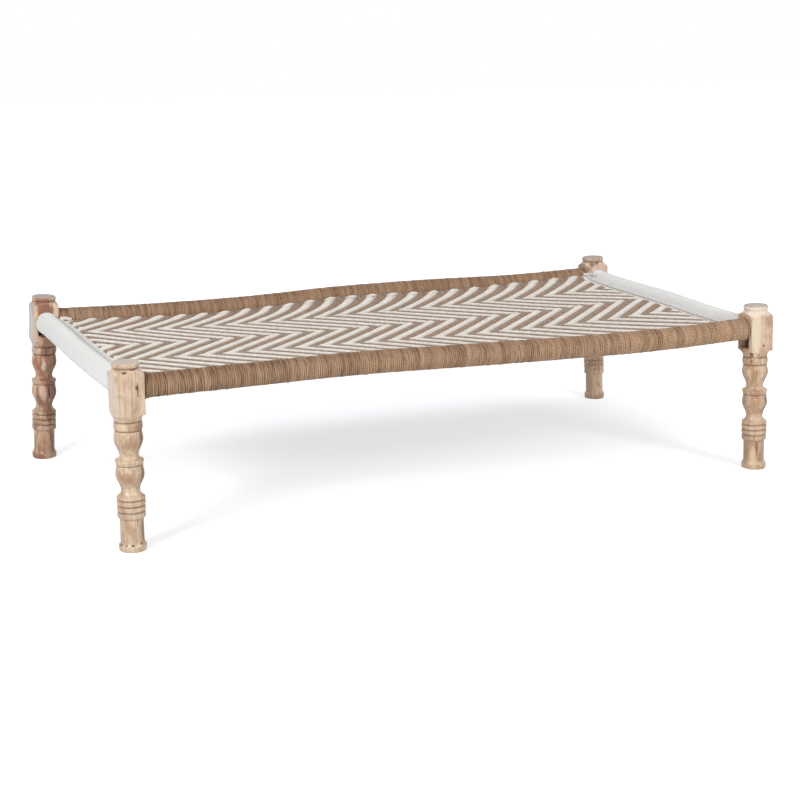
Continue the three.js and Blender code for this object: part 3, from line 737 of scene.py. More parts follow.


# The wood of each leg: screen colours of sapwood, heartwood, cracks and painted shade, and end
# grain, the share of heartwood and how sharply it parts, the share without cracks, the strength
# of the rings, and marks: a centre from the leg's axis and a reach in millimetres, a strength
# and a colour. Most marks are stains, knots and cracks; the ones so noted are painted light or
# shade.
LEG_WOODS = {
    "leg_front_left": dict(
        sapwood=(220, 198, 170), heartwood=(188, 152, 122), crack=(92, 60, 40), end=(202, 190, 180),
        heart_share=0.40, heart_edge=0.14, crack_share=0.66, rings=0.16, seed=(0.3, 1.2, 0.11),
        marks=(
            ((0, 0, 266), (42, 42, 27), 0.62, (168, 136, 106)),
            ((0, 0, 182), (42, 42, 26), 0.60, (166, 132, 102)),
            ((0, 0, 45), (42, 42, 34), 0.36, (178, 148, 118)),
            # Painted shade down the right side of both vases and of the lower shaft.
            ((24, -24, 268), (7, 8, 26), 0.75, (128, 90, 64)),
            ((24, -23, 184), (7, 8, 24), 0.75, (130, 92, 66)),
            ((19, -22, 52), (5, 7, 32), 0.6, (136, 98, 72)),
            # Painted reflection, pale, on the block's left face.
            ((-36, 4, 385), (7, 34, 70), 0.55, (230, 208, 194)),
            ((-12, -31, 266), (8, 8, 14), 0.65, (172, 132, 100)),
            ((-20, -22, 243), (7, 7, 8), 0.5, (180, 142, 108)),
            ((-14, -30, 184), (20, 19, 13), 0.55, (164, 122, 90)),
            ((2, -33, 268), (9, 9, 20), 0.5, (168, 126, 92)),
            ((18, -28, 304), (12, 12, 10), 0.8, (150, 116, 88)),
            ((17.5, -35, 396), (1.5, 4, 16), 0.95, (88, 52, 34)),
            ((15.5, -35, 400), (3.4, 4, 4.5), 0.95, (96, 56, 36)),
            ((18.5, -35, 381), (2.4, 4, 1.4), 0.8, (96, 56, 36)),
            ((-13, -34, 437), (6.5, 5, 3.0), 0.95, (110, 66, 40)),
            ((9, -31, 442.5), (9, 7, 1.8), 0.9, (110, 70, 46)),
            ((6.7, -29.5, 100), (1.2, 4, 36), 0.85, (96, 62, 42)),
            ((-30, -11.3, 17.5), (4, 4, 3), 0.9, (78, 50, 36)),
            ((-19.3, -25.6, 17), (3.6, 3.6, 2.2), 0.85, (90, 60, 42)),
            ((-6.6, -31.3, 17.5), (4.4, 4.4, 2.6), 0.9, (78, 50, 36)),
            ((14.7, -28.5, 20), (3, 3, 3.2), 0.85, (84, 56, 40)),
            ((0.1, -28.3, 56), (2, 3, 3.4), 0.8, (110, 76, 54)),
            ((3.0, -28, 37), (1.8, 3, 6), 0.8, (110, 76, 54)),
        ),
    ),
    "leg_front_right": dict(
        sapwood=(222, 196, 166), heartwood=(186, 146, 112), crack=(98, 62, 42), end=(152, 145, 139),
        heart_share=0.46, heart_edge=0.10, crack_share=0.66, rings=0.22, seed=(2.3, 0.4, 0.5),
        marks=(
            ((0, 0, 182), (42, 42, 30), 0.42, (166, 128, 100)),
            # Painted shade down the right side of the lower vase and of the bands.
            ((0, 0, 60), (42, 42, 48), 0.58, (160, 122, 92)),
            ((22, -25, 182), (9, 9, 26), 0.8, (120, 80, 54)),
            ((25, -22, 108), (9, 9, 18), 0.6, (132, 92, 64)),
            # Painted shade down the right side of the upper vase.
            ((2, -28, 62), (4.5, 6, 28), 0.65, (124, 84, 56)),
            ((24, -22, 266), (9, 9, 26), 0.7, (126, 86, 60)),
            ((0, -10, 444), (48, 48, 14), 0.85, (238, 224, 206)),
            ((-19.5, -34, 382), (15.5, 16, 74), 0.9, (232, 215, 188)),
            ((16, -34, 352), (16, 6, 18), 0.45, (226, 192, 172)),
            ((5, -34, 350), (3.6, 4, 3.2), 0.95, (104, 62, 36)),
            ((-25.3, -22.7, 325), (6, 5, 9), 0.9, (126, 80, 52)),
            ((-25.3, -22.7, 306), (5, 5, 6), 0.75, (140, 92, 62)),
            ((-8, -27, 38), (9, 9, 26), 0.8, (236, 204, 166)),
            ((14, -25, 50), (5.5, 5.5, 44), 0.8, (146, 100, 68)),
            ((-30, -8.5, 16), (6, 6, 6), 0.6, (108, 84, 72)),
            ((-15.2, -29.3, 11), (2.8, 2.8, 1.5), 0.9, (90, 54, 36)),
            # Painted shade down the right side of both vases.
            ((20, -27, 185), (8, 8, 34), 0.55, (140, 98, 70)),
            ((24, -22, 268), (8, 8, 24), 0.5, (146, 106, 76)),
        ),
    ),
    "leg_back_left": dict(
        sapwood=(216, 186, 156), heartwood=(164, 118, 92), crack=(60, 36, 26), end=(186, 174, 168),
        heart_share=0.48, heart_edge=0.05, crack_share=0.60, rings=0.25, seed=(0.9, 2.6, 0.3),
        marks=(
            ((0, -35, 390), (24, 12, 58), 0.8, (146, 102, 78)),
            ((-29, -35, 385), (7, 14, 68), 0.9, (226, 198, 168)),
            ((28, -35, 402), (8.5, 14, 46), 0.9, (230, 206, 178)),
            # Painted reflection, pale grey, on the block's left face.
            ((-36, 6, 385), (5.0, 36, 82), 0.95, (221, 213, 207)),
            ((-27.3, -19.6, 272), (9, 9, 20), 0.85, (166, 106, 74)),
            ((-13.8, -31, 262), (6, 7, 25), 0.85, (226, 206, 182)),
            ((-8.3, -26, 240), (4, 5, 5), 0.9, (70, 42, 30)),
            ((-4.4, -33, 308), (1.8, 5, 18), 0.85, (78, 46, 32)),
            ((-28.4, -17, 180), (7, 8, 40), 0.85, (136, 88, 62)),
            ((-17.4, -29.2, 186), (8.5, 8, 34), 0.8, (224, 190, 166)),
            ((-1.5, -33, 178), (2.3, 5, 44), 0.95, (56, 34, 26)),
            ((-21.4, -18.5, 44), (10, 10, 36), 0.65, (176, 118, 82)),
            ((-18, -21.5, 50), (1.6, 3, 30), 0.9, (70, 42, 30)),
            ((7.2, -30.5, 15), (9, 6, 4.5), 0.85, (66, 46, 38)),
            ((-12, -35, 356), (9, 4, 5), 0.8, (60, 42, 34)),
        ),
    ),
    "leg_back_right": dict(
        sapwood=(228, 202, 180), heartwood=(186, 154, 130), crack=(84, 56, 44), end=(186, 172, 166),
        heart_share=0.47, heart_edge=0.10, crack_share=0.62, rings=0.22, seed=(1.6, 3.2, 0.8),
        marks=(
            # Painted light on the turned part, where the bed shades it: this mark and the next two.
            ((0, 0, 266), (44, 44, 28), 0.65, (246, 212, 182)),
            ((0, 0, 182), (44, 44, 28), 0.7, (248, 214, 182)),
            ((0, 0, 60), (44, 44, 70), 0.75, (250, 216, 180)),
            ((8, -27, 72), (3.6, 6, 5), 0.9, (70, 42, 30)),
            ((-22, -30, 438), (8, 8, 6), 0.9, (104, 66, 54)),
            ((-6, -30, 441), (7, 8, 5), 0.8, (112, 72, 58)),
            ((-14, -33, 420), (10, 8, 8), 0.7, (238, 222, 210)),
            ((-4, -34, 410), (6, 8, 6), 0.6, (120, 88, 74)),
            ((-14, -28, 45), (8, 8, 26), 0.5, (196, 168, 140)),
        ),
    ),
}


def screen(colour):
    return (*(linear(value) for value in colour), 1.0)


# Marks whose screen values add up to less than this have sharp edges and are pressed in as dents,
# and the others have soft edges. The dark ones are dents, knots and cracks, or painted shade where
# LEG_WOODS says so; the pale ones are stains, or painted light where it says so.
DARK_MARK_BELOW = 330
SOFT_EDGE = {"Rough edge": 1.5, "Softness": 0.4}


def leg_wood(sizes, name):
    """The wood of one leg with its marks, its coordinates taken from its own axis."""
    wood = LEG_WOODS[name]
    material, tree, surface, place = new_material(name.replace("leg", "wood"))
    x = (-1 if "left" in name else 1) * sizes.bed_length / 2 + MIDDLE[0]
    y = (1 if "back" in name else -1) * sizes.bed_width / 2 + MIDDLE[1]
    local = tree.stretched(place, (1.0, 1.0, 1.0), (-x, -y, 0.0))
    end_grain = tree.attribute("end_grain")
    group = tree.add("ShaderNodeGroup", {
        "Place": local, "Hollow shade": tree.attribute("hollow_shade"), "End grain": end_grain,
        "Sapwood": screen(wood["sapwood"]), "Heartwood": screen(wood["heartwood"]),
        "Crack and shade colour": screen(wood["crack"]), "End colour": screen(wood["end"]),
        "Heart share": wood["heart_share"], "Heart edge": wood["heart_edge"],
        "Crack share": wood["crack_share"], "Ring strength": wood["rings"],
        "Seed": wood["seed"],
    }, node_tree=turned_wood_group())
    colour, height = group.outputs["Color"], group.outputs["Height"]
    for centre, reach, strength, shade in wood["marks"]:
        dark_mark = sum(shade) < DARK_MARK_BELOW
        spot = tree.add("ShaderNodeGroup", {
            "Place": local, "Centre": [v * MM for v in centre], "Reach": [v * MM for v in reach],
            "Strength": strength, **({} if dark_mark else SOFT_EDGE),
        }, node_tree=spot_group())
        colour = tree.mix(spot.outputs["Mask"], colour, screen(shade))
        if dark_mark:
            height = tree.math("MULTIPLY_ADD", spot.outputs["Mask"], -2.5, height)
    tree.join(colour, surface.inputs["Base Color"])
    tree.join(group.outputs["Roughness"], surface.inputs["Roughness"])
    coat = tree.math("MULTIPLY_ADD", end_grain, -0.4, 0.4)
    tree.join(coat, surface.inputs["Coat Weight"])
    surface.inputs["Coat Roughness"].default_value = 0.24
    tree.bump(surface, 0.6, 0.5 * MM, height)
    return material


class CHARPAI_OT_legs(bpy.types.Operator):
    """Builds the four turned legs, each in its own wood"""

    bl_idname = "charpai.legs"
    bl_label = "Legs"

    def execute(self, context):
        sizes = context.scene.charpai_frame
        for seed, name in enumerate(LEGS, 11):
            leg = leg_mesh(sizes, name, leg_wood(sizes, name), seed)
            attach(leg, "root")
            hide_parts(name)
        return {"FINISHED"}


# Poles


def pole_wood():
    """Peeled pole: pale wood with long streaks, hardly seen inside its winding."""
    material, tree, surface, place = new_material("pole_wood")
    streak = tree.noise(tree.stretched(place, (40, 60, 120)), 1.0, 4.0, 0.6)
    colour = tree.mix(tree.ramp(streak, 0.3, 0.7), screen((176, 142, 104)), screen((128, 94, 64)))
    tree.join(colour, surface.inputs["Base Color"])
    tree.join(tree.math("MULTIPLY_ADD", streak, 0.3, 0.5), surface.inputs["Roughness"])
    tree.bump(surface, 0.5, 0.4 * MM, streak)
    return material


class CHARPAI_OT_poles(bpy.types.Operator):
    """Gives the four poles their wood"""

    bl_idname = "charpai.poles"
    bl_label = "Poles"

    def execute(self, context):
        material = pole_wood()
        for name in ("side_rail_front", "side_rail_back", "end_rail_left", "end_rail_right"):
            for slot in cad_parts[name].material_slots:
                slot.material = material
        return {"FINISHED"}


# Windings


# The width of a turn in shares of the cord and its number of points, and the spread of a loose
# turn's place, height and slant in shares of the cord.
TURN_WIDTH, TURN_STEPS = 0.985, 15
TURN_DRIFT, TURN_LIFT, TURN_SWAY = 0.07, 0.11, 0.15

# How far the cord stays inside the winding's radius, and how much more where the turns are loose.
INSET, LOOSE_INSET = 0.35 * MM, 0.8 * MM

# How far the turns at the ends stand out, and how far along that goes, in shares of the cord.
END_BULGE, END_REACH = 0.5, 2.6

# How much of its darkness every second turn keeps, and the darkness of the darkest turns, of
# the painted shade at the ends, of the darkest flecks and of the painted shade on top, in shares
# of the winding's own.
PALE_TURNS = 0.3
TURN_SHADE, END_PAINTED_SHADE, FLECK_SHADE, TOP_PAINTED_SHADE = 0.95, 0.35, 0.40, 0.45

# For each winding: its random seed, how loose its turns are, how dark its darkest turns are, and
# how much lighter its last turn is than its first.
WINDINGS = {
    "jute_winding_front": (31, 1.0, 0.8, 0.36),
    "jute_winding_back": (32, 1.0, 0.72, 0.0),
    "cotton_winding_left": (41, 0.25, 0.10, 0.0),
    "cotton_winding_right": (42, 0.25, 0.10, 0.0),
}


def winding_mesh(cords, node, line, reach, along_x, radius, material):
    """One cord wound round a pole as a helix: its angle grows evenly while its place along the
    pole grows by a turn's width for each turn, with random drift, lift and sway eased from turn
    to turn. It is wound over itself at both ends, which stand out by half a cord. Its shade is
    darker on some turns and in random flecks, and holds painted shade at the ends and on top."""
    seed, loose, tone, fading = WINDINGS[node]
    random = np.random.default_rng(seed)
    low, high = reach
    cord = cords.cord_diameter
    width = cord * TURN_WIDTH
    turns = (high - low - cord) / width
    count, values_needed = int(turns * TURN_STEPS), int(turns) + 3
    turn = np.arange(count + 1) / TURN_STEPS
    drift = random.normal(0, TURN_DRIFT * loose * cord, values_needed)
    lift = np.abs(random.normal(0, TURN_LIFT * loose * cord, values_needed))
    tones = random.random(values_needed)
    tones[::2] *= PALE_TURNS
    sway = random.normal(0, TURN_SWAY * loose * cord, (values_needed, 2))
    first = turn.astype(int)
    part = turn - first
    part = part * part * (3 - 2 * part)

    def eased(values):
        return values[first] * (1 - part) + values[first + 1] * part

    angle = 2 * np.pi * turn
    place = low + cord / 2 + turn * width + eased(drift)
    place += eased(sway[:, 0]) * np.sin(angle) + eased(sway[:, 1]) * np.cos(angle)
    place = np.clip(place, low + 0.45 * cord, high - 0.45 * cord)
    bulge = np.exp(-(np.minimum(place - low, high - place) / (END_REACH * cord)) ** 2)
    out = radius - cord / 2 - INSET - LOOSE_INSET * loose + eased(lift) + END_BULGE * cord * bulge
    outward = np.zeros((count + 1, 3))
    outward[:, 1 if along_x else 0] = np.cos(angle)
    outward[:, 2] = np.sin(angle)
    side = np.zeros((count + 1, 3))
    side[:, 0 if along_x else 1] = 1
    path = line(place) + outward * out[:, None]
    flecks = random.random(count + 1) ** 2
    above = np.maximum(0, np.sin(angle)) ** 2
    # Painted shade at the ends beside the legs and on top, besides darker turns and flecks at
    # random.
    shade = tone * (
        TURN_SHADE * eased(tones) + END_PAINTED_SHADE * bulge + FLECK_SHADE * flecks + TOP_PAINTED_SHADE * above
    )
    shade = shade + fading * (0.30 - (place - low) / (high - low))
    thick = cord / 2 * (1.0 - 0.02 * loose + 0.12 * loose * (eased(tones[::-1]) - 0.5))
    return cords_mesh(
        node + "_turns", path[None], side[None], thick[None], 6, material,
        {"shade": shade[None]},
    )


class CHARPAI_OT_windings(bpy.types.Operator):
    """Winds jute round the side poles and cotton round the end poles"""

    bl_idname = "charpai.windings"
    bl_label = "Windings"

    def execute(self, context):
        sizes, cords = context.scene.charpai_frame, context.scene.charpai_cords
        jute, cotton = (
            cord_material(context.scene.charpai_colours, name)
            for name in ("jute_turns", "cotton_turns")
        )
        for node in WINDINGS:
            is_jute = "jute" in node
            axis, line, radius = (
                (0, side_line, cords.side_winding_radius) if is_jute
                else (1, end_line, cords.end_winding_radius)
            )
            far = "back" in node or "right" in node
            low, high = (corner[axis] - MIDDLE[axis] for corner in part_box(node))
            piece = winding_mesh(
                cords, node, lambda places: line(sizes, places, far), (low - MM, high + MM),
                is_jute, radius, jute if is_jute else cotton,
            )
            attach(piece, "root")
            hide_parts(node)
        return {"FINISHED"}


# Weave


# The sag, and the height of the rear edge, at even places between the leg axes along the bed.
SAG_SHARES = (0, 0.54, 0.77, 0.94, 1, 0.72, 0.37, 0)
REAR_EDGE_SHARES = (0, -0.17, -0.42, -0.58, -0.42, -0.08, 0.25, 0, -0.33, 0, 0.58, 0.83, 1)


# Powers by which the bed's height goes over to the end poles', and its edges rise at the sides.
END_POWER, EDGE_POWER = 6, 18


def bed_height(sizes, cords, x, y):
    """Height of the middle of the weave: the side poles' heights, blended by a sixth power into
    the end poles' heights, less a sag that changes along the bed and that an eighteenth power
    across keeps nearly whole to close beside the side poles, where each edge has its height."""
    u, v = x / sizes.bed_length + 0.5, y / sizes.bed_width + 0.5
    front = sizes.side_joint_height + through_places(FRONT_BOW, u)
    back = sizes.side_joint_height + through_places(BACK_BOW, u)
    left = sizes.end_joint_height + through_places(LEFT_BOW, v)
    right = sizes.end_joint_height + through_places(RIGHT_BOW, v)
    near_end = np.abs(2 * u - 1) ** END_POWER
    half = sizes.bed_width / 2 - cords.side_winding_radius
    across = 1 - np.minimum(1, np.abs(y) / half) ** EDGE_POWER
    sides, ends = front + (back - front) * v, left + (right - left) * u
    sag = cords.bed_sag * through_places(SAG_SHARES, u)
    rear = cords.rear_edge * through_places(REAR_EDGE_SHARES, u)
    edge = np.where(y < 0, -cords.edge_drop, rear)
    return sides + (ends - sides) * near_end + edge * (1 - across) - sag * across


# Rows of cotton, counted from the back, at which the zigzag turns.
TURN_ROWS = (10, 22, 34)


def row_place(sizes, cords, row):
    """Where a cotton row, or a part of one, lies across the bed."""
    edge = sizes.bed_width / 2 - cords.side_winding_radius + 0.3 * MM
    return edge * (1 - 2 * np.asarray(row, float) / cords.strand_rows)


# How far the jute columns are shifted to the left at the bed's middle, in shares of half its
# length, and how much that share grows from there towards the right.
COLUMN_SHIFT, SHIFT_GROWTH = 0.0228, 0.0068


def column_place(sizes, cords, column):
    """Where a jute column, or a part of one, lies along the bed: the spacing changes slowly, as
    a third power of the place."""
    edge = sizes.bed_length / 2 - cords.end_winding_radius - cords.margin_width
    share = np.asarray(column, float) / cords.strand_columns
    shift = COLUMN_SHIFT + SHIFT_GROWTH * (2 * share - 1)
    return edge * (2 * share - 1 - 4 * shift * share * (1 - share))


# Column at which the first white stripe starts in the row where the zigzag first turns.
FIRST_COLUMN = 1


def stripe_offset(cords):
    """How many columns the stripes of each row stand to the right: one more or less for each
    row, turning back at the zigzag's rows."""
    last = cords.strand_rows - 1
    turns = [0, *TURN_ROWS, last]
    first, second, third = TURN_ROWS
    return np.interp(np.arange(last + 1), turns, [first, 0, third - second, 0, last - third])


def cotton_on_top(cords):
    """Rows x columns of the weave, true where cotton passes over jute: over two and under two,
    moved by the row's offset."""
    offset = np.round(stripe_offset(cords)).astype(int)
    column = np.arange(cords.strand_columns)
    return (column[None] - offset[:, None] - FIRST_COLUMN) % 4 < 2


# How far the cords of each kind rise above the weave's middle and dip below it, and the share
# of a rise at a crossing beside a change.
COTTON_RISE, COTTON_DIP, COTTON_SHOULDER = 4.2 * MM, 2.8 * MM, 0.70
JUTE_RISE, JUTE_DIP, JUTE_SHOULDER = 2.8 * MM, 2.5 * MM, 0.92
DIP_SHOULDER = 0.9

# What is left of a rise or dip beside the side poles, and how far the cords run in under the
# windings.
SIDE_SHARE = 0.75
UNDER_WINDING = 2.5 * MM

# The places of a strand's three cords, and the distance between two of them.
THREE = np.array([-1.0, 0.0, 1.0])
COTTON_SPREAD, JUTE_SPREAD = 5.25 * MM, 5.3 * MM

# How far a cord drifts sideways at each point, and how uneven its height is.
COTTON_DRIFT, JUTE_DRIFT = 0.09 * MM, 0.10 * MM
COTTON_UNEVEN, JUTE_UNEVEN = 0.26 * MM, 0.22 * MM

# Places of the points of a cotton cord across a bare margin, in shares of its width.
MARGIN_PLACES = np.array([0.0, 0.3, 0.65, 0.9])


def over_and_under(signs, rise, dip, shoulder):
    """Heights of strands at each half step, from signs along the last axis: the whole rise or
    dip between two alike crossings, a share of it at a crossing beside a change, and nothing at
    the change."""
    padded = np.concatenate([signs[..., :1], signs, signs[..., -1:]], -1)
    alike = ((padded[..., :-2] == signs).astype(float) + (padded[..., 2:] == signs)) - 1
    full = np.where(signs > 0, rise, -dip)
    share = np.where(signs > 0, shoulder, DIP_SHOULDER)
    at = full * (share + (1 - share) * alike)
    between = np.where(signs[..., :-1] == signs[..., 1:], full[..., :-1], 0.0)
    heights = np.zeros((*signs.shape[:-1], 2 * signs.shape[-1] - 1))
    heights[..., ::2], heights[..., 1::2] = at, between
    return heights


def drifting(random, shape, reach):
    """Random sideways drift of cords: the sums of random steps, less as much of the last sum as
    brings each cord back to its place at its end."""
    drift = np.cumsum(random.normal(0, reach, shape), 1)
    return drift - np.linspace(0, 1, shape[1]) * drift[:, -1:]


# How dark the cotton and jute cords of the weave are made: each cord at random, each point at
# random, and painted shade at each point by how far it lies below the highest. The jute ends,
# where they run in under the poles' windings, get painted shadow.
COTTON_SHADES, JUTE_SHADES = (0.10, 0.28, 0.6), (0.16, 0.34, 0.4)
JUTE_END_PAINTED_SHADOW = 0.9


def cotton_paths(sizes, cords, rows, seed):
    """Lengthwise cotton cords of the given rows, three to a row, from end pole to end pole. The
    three cross the jute a third of a column after each other, so that the stripes lean evenly.
    Returned with their radii and with how far each point lies below the highest, from 0 to 1."""
    random = np.random.default_rng(seed)
    signs = np.where(cotton_on_top(cords), 1.0, -1.0)[rows]
    waves = over_and_under(signs, COTTON_RISE, COTTON_DIP, COTTON_SHOULDER)
    inner = column_place(sizes, cords, np.arange(waves.shape[1]) / 2 + 0.5)
    reach = sizes.bed_length / 2 - cords.end_winding_radius + UNDER_WINDING
    left = -reach + (inner[0] + reach) * MARGIN_PLACES
    right = reach - (reach - inner[-1]) * MARGIN_PLACES[::-1]
    x = np.concatenate([left, inner, right])
    quiet = np.zeros((len(rows), len(MARGIN_PLACES)))
    waves = np.repeat(np.concatenate([quiet, waves, quiet], 1), 3, 0)
    row = np.repeat(np.asarray(rows, float) + 0.5, 3)
    step = np.tile(THREE, len(rows))
    lean = np.repeat(np.gradient(stripe_offset(cords))[rows], 3)
    pitch = (inner[-1] - inner[0]) / (cords.strand_columns - 1)
    x = x - pitch / 3 * (lean * step)[:, None] * (np.abs(x) < inner[-1] + 0.1 * MM)
    drift = drifting(random, x.shape, COTTON_DRIFT)
    y = row_place(sizes, cords, row)[:, None] + step[:, None] * COTTON_SPREAD + drift
    from_side = np.minimum(row, cords.strand_rows - row)
    near_side = np.interp(from_side, [0, 2], [SIDE_SHARE, 1])
    z = bed_height(sizes, cords, x, y) + near_side[:, None] * waves
    z += random.normal(0, COTTON_UNEVEN, x.shape)
    thick = cords.cord_diameter / 2 * (0.95 + 0.06 * random.random(x.shape))
    dive = 1 - np.clip(waves / COTTON_RISE, 0, 1)
    dive[:, :len(MARGIN_PLACES)] = dive[:, -len(MARGIN_PLACES):] = 0
    return np.stack([x, y, z], -1), thick, dive


def jute_paths(sizes, cords, columns, seed):
    """Crosswise jute cords of the given columns, three to a column, from side pole to side pole.
    The three cross the cotton a third of a row after each other. Returned with their radii and
    with how far each point lies below the highest, from 0 to 1."""
    random = np.random.default_rng(seed)
    signs = -np.where(cotton_on_top(cords), 1.0, -1.0).T[columns]
    waves = over_and_under(signs, JUTE_RISE, JUTE_DIP, JUTE_SHOULDER)
    half_steps = np.arange(waves.shape[1]) / 2
    inner = row_place(sizes, cords, half_steps + 0.5)
    reach = sizes.bed_width / 2 - cords.side_winding_radius + UNDER_WINDING
    y = np.concatenate([[reach], inner, [-reach]])
    quiet = np.zeros((len(columns), 1))
    waves = np.repeat(np.concatenate([quiet, waves, quiet], 1), 3, 0)
    column = np.repeat(np.asarray(columns, float) + 0.5, 3)
    step = np.tile(THREE, len(columns))
    lean = np.gradient(stripe_offset(cords))
    lean = np.interp(half_steps, np.arange(cords.strand_rows), lean)
    lean = np.concatenate([[0.0], lean, [0.0]])
    pitch = (inner[0] - inner[-1]) / (cords.strand_rows - 1)
    y = y - pitch / 3 * lean * step[:, None]
    drift = drifting(random, y.shape, JUTE_DRIFT)
    x = column_place(sizes, cords, column)[:, None] + step[:, None] * JUTE_SPREAD + drift
    near_side = np.clip((reach - np.abs(y)) / (2 * pitch), SIDE_SHARE, 1)
    z = bed_height(sizes, cords, x, y) + near_side * waves
    z += random.normal(0, JUTE_UNEVEN, y.shape)
    thick = cords.cord_diameter / 2 * (0.99 + 0.04 * random.random(y.shape))
    dive = 1 - np.clip(waves / JUTE_RISE, 0, 1)
    return np.stack([x, y, z], -1), thick, dive


# The header cords' places beside the end poles' windings, their radius and height above the
# weave's middle, and the height, length and shift of their waves.
HEADER_PLACES = (4.4 * MM, 12.6 * MM)
HEADER_RADIUS, HEADER_HEIGHT = 3.6 * MM, 6.4 * MM
HEADER_WAVE, HEADER_WAVE_LENGTH, HEADER_SHIFT = 1.1 * MM, 24 * MM, 900


def header_paths(sizes, cords, seed):
    """Two wavy cotton cords laid across each bare margin, close beside the end pole's winding."""
    random = np.random.default_rng(seed)
    reach = sizes.bed_width / 2 - cords.side_winding_radius + 2 * MM
    y = np.linspace(-reach, reach, 160)
    paths = []
    for sign in (-1, 1):
        for off in HEADER_PLACES:
            x = sign * (sizes.bed_length / 2 - cords.end_winding_radius - off)
            x = x + np.cumsum(random.normal(0, 0.08 * MM, len(y)))
            wave = HEADER_WAVE * np.sin(2 * np.pi * y / HEADER_WAVE_LENGTH + off * HEADER_SHIFT)
            z = bed_height(sizes, cords, x, y) + HEADER_HEIGHT + wave
            paths.append(np.stack([x, y, z], -1))
    return np.stack(paths)


class CHARPAI_OT_weave(bpy.types.Operator):
    """Weaves lengthwise cotton and crosswise jute cords in a zigzag twill"""

    bl_idname = "charpai.weave"
    bl_label = "Weave"

    def execute(self, context):
        sizes, cords = context.scene.charpai_frame, context.scene.charpai_cords
        cotton, jute, white = (
            cord_material(context.scene.charpai_colours, name)
            for name in ("cotton_strands", "jute_strands", "cotton_header")
        )
        random = np.random.default_rng(5)
        rows = np.array_split(np.arange(cords.strand_rows), 2)
        for part, chosen in zip(("back", "front"), rows):
            path, thick, dive = cotton_paths(sizes, cords, chosen, 51 + len(part))
            by_cord, by_point, dive_painted_shade = COTTON_SHADES
            shade = by_cord * random.random((len(path), 1))
            # Random tone, and painted shade where the cords dive under.
            shade = shade + by_point * random.random(path.shape[:2]) ** 2 + dive_painted_shade * dive
            piece = cords_mesh(
                f"cotton_strands_{part}", path, Y_AXIS * np.ones_like(path), thick, 6, cotton,
                {"shade": shade},
            )
            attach(piece, "root")
            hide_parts("woven_bed", "cotton_margin_left", "cotton_margin_right")
        columns = np.array_split(np.arange(cords.strand_columns), 2)
        for part, chosen in zip(("left", "right"), columns):
            path, thick, dive = jute_paths(sizes, cords, chosen, 61 + len(part))
            by_cord, by_point, dive_painted_shade = JUTE_SHADES
            shade = by_cord * random.random((len(path), 1))
            # Random tone, and painted shade where the cords dive under.
            shade = shade + by_point * random.random(path.shape[:2]) + dive_painted_shade * dive
            # Painted shadow of the windings on the jute ends.
            shade[:, [0, -1]] = JUTE_END_PAINTED_SHADOW
            piece = cords_mesh(
                f"jute_strands_{part}", path, X_AXIS * np.ones_like(path), thick, 6, jute,
                {"shade": shade},
            )
            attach(piece, "root")
            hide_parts("woven_bed")
        piece = even_cords(
            "cotton_header_cords", header_paths(sizes, cords, 71), X_AXIS, HEADER_RADIUS, 8,
            white, 0.0,
        )
        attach(piece, "root")
        return {"FINISHED"}


# Tie


# The tie's points in shares of its span and its rise, its span and rise, how high it starts over
# the weave's middle, how far it bends sideways and its radius.
TIE_SHARES = (
    (-0.05, 0.3), (0, 0.6), (0.15, 0.95), (0.42, 1), (0.75, 0.6), (1, 0), (1.04, -0.25),
)
TIE_SPAN, TIE_RISE, TIE_HEIGHT, TIE_BEND, TIE_RADIUS = (
    25 * MM, 3.5 * MM, 6.6 * MM, 1.5 * MM, 4.8 * MM,
)

# How far the tie starts from the leg's block and from the rear winding.
TIE_GAPS = (4.3 * MM, 6 * MM)

# The loose strand's points from the back right leg's joint, in millimetres, and its radius.
STRAND_PLACES = (
    (-50, -30, 18), (-44, -36, 19), (-37, -45, 20.5), (-32, -57, 21.5), (-30, -68, 21),
)
STRAND_RADIUS = 4.2 * MM

# The shade of both.
TIE_SHADE = 0.05


def tie_path(sizes, cords):
    """The cotton tail at the back left corner: a smooth low arch along the rear winding through
    the given shares of its span and rise."""
    shares = np.array(TIE_SHARES)
    start = -sizes.bed_length / 2 + sizes.block_side / 2 + TIE_GAPS[0]
    y = sizes.bed_width / 2 - cords.side_winding_radius - TIE_GAPS[1]
    t = np.linspace(0, 1, 60)
    x = start + TIE_SPAN * through_places(shares[:, 0], t)
    low = bed_height(sizes, cords, x, np.full_like(x, y)) + TIE_HEIGHT
    z = low + TIE_RISE * through_places(shares[:, 1], t)
    return np.stack([x, y + TIE_BEND * np.sin(6 * t), z], -1)[None]


def strand_path(sizes):
    """The cotton tail at the back right corner: a smooth line through the given points, from
    beside the leg's block along the shoulder of the end pole's winding."""
    places = np.array(STRAND_PLACES) * MM
    t = np.linspace(0, 1, 40)
    corner = np.array([sizes.bed_length / 2, sizes.bed_width / 2, sizes.end_joint_height])
    return (corner + np.stack([through_places(line, t) for line in places.T], -1))[None]


class CHARPAI_OT_tie(bpy.types.Operator):
    """Lays the cotton cords' tails at the two back corners"""

    bl_idname = "charpai.tie"
    bl_label = "Corner tie"

    def execute(self, context):
        sizes, cords = context.scene.charpai_frame, context.scene.charpai_cords
        material = cord_material(context.scene.charpai_colours, "cotton_tie")
        piece = even_cords(
            "corner_tie_loop", tie_path(sizes, cords), Y_AXIS, TIE_RADIUS, 16, material,
            TIE_SHADE,
        )
        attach(piece, "root")
        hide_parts("corner_tie")
        piece = even_cords(
            "corner_strand", strand_path(sizes), Z_AXIS, STRAND_RADIUS, 12, material, TIE_SHADE,
        )
        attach(piece, "root")
        return {"FINISHED"}


# Stage


FLOOR_REACH = 14.0

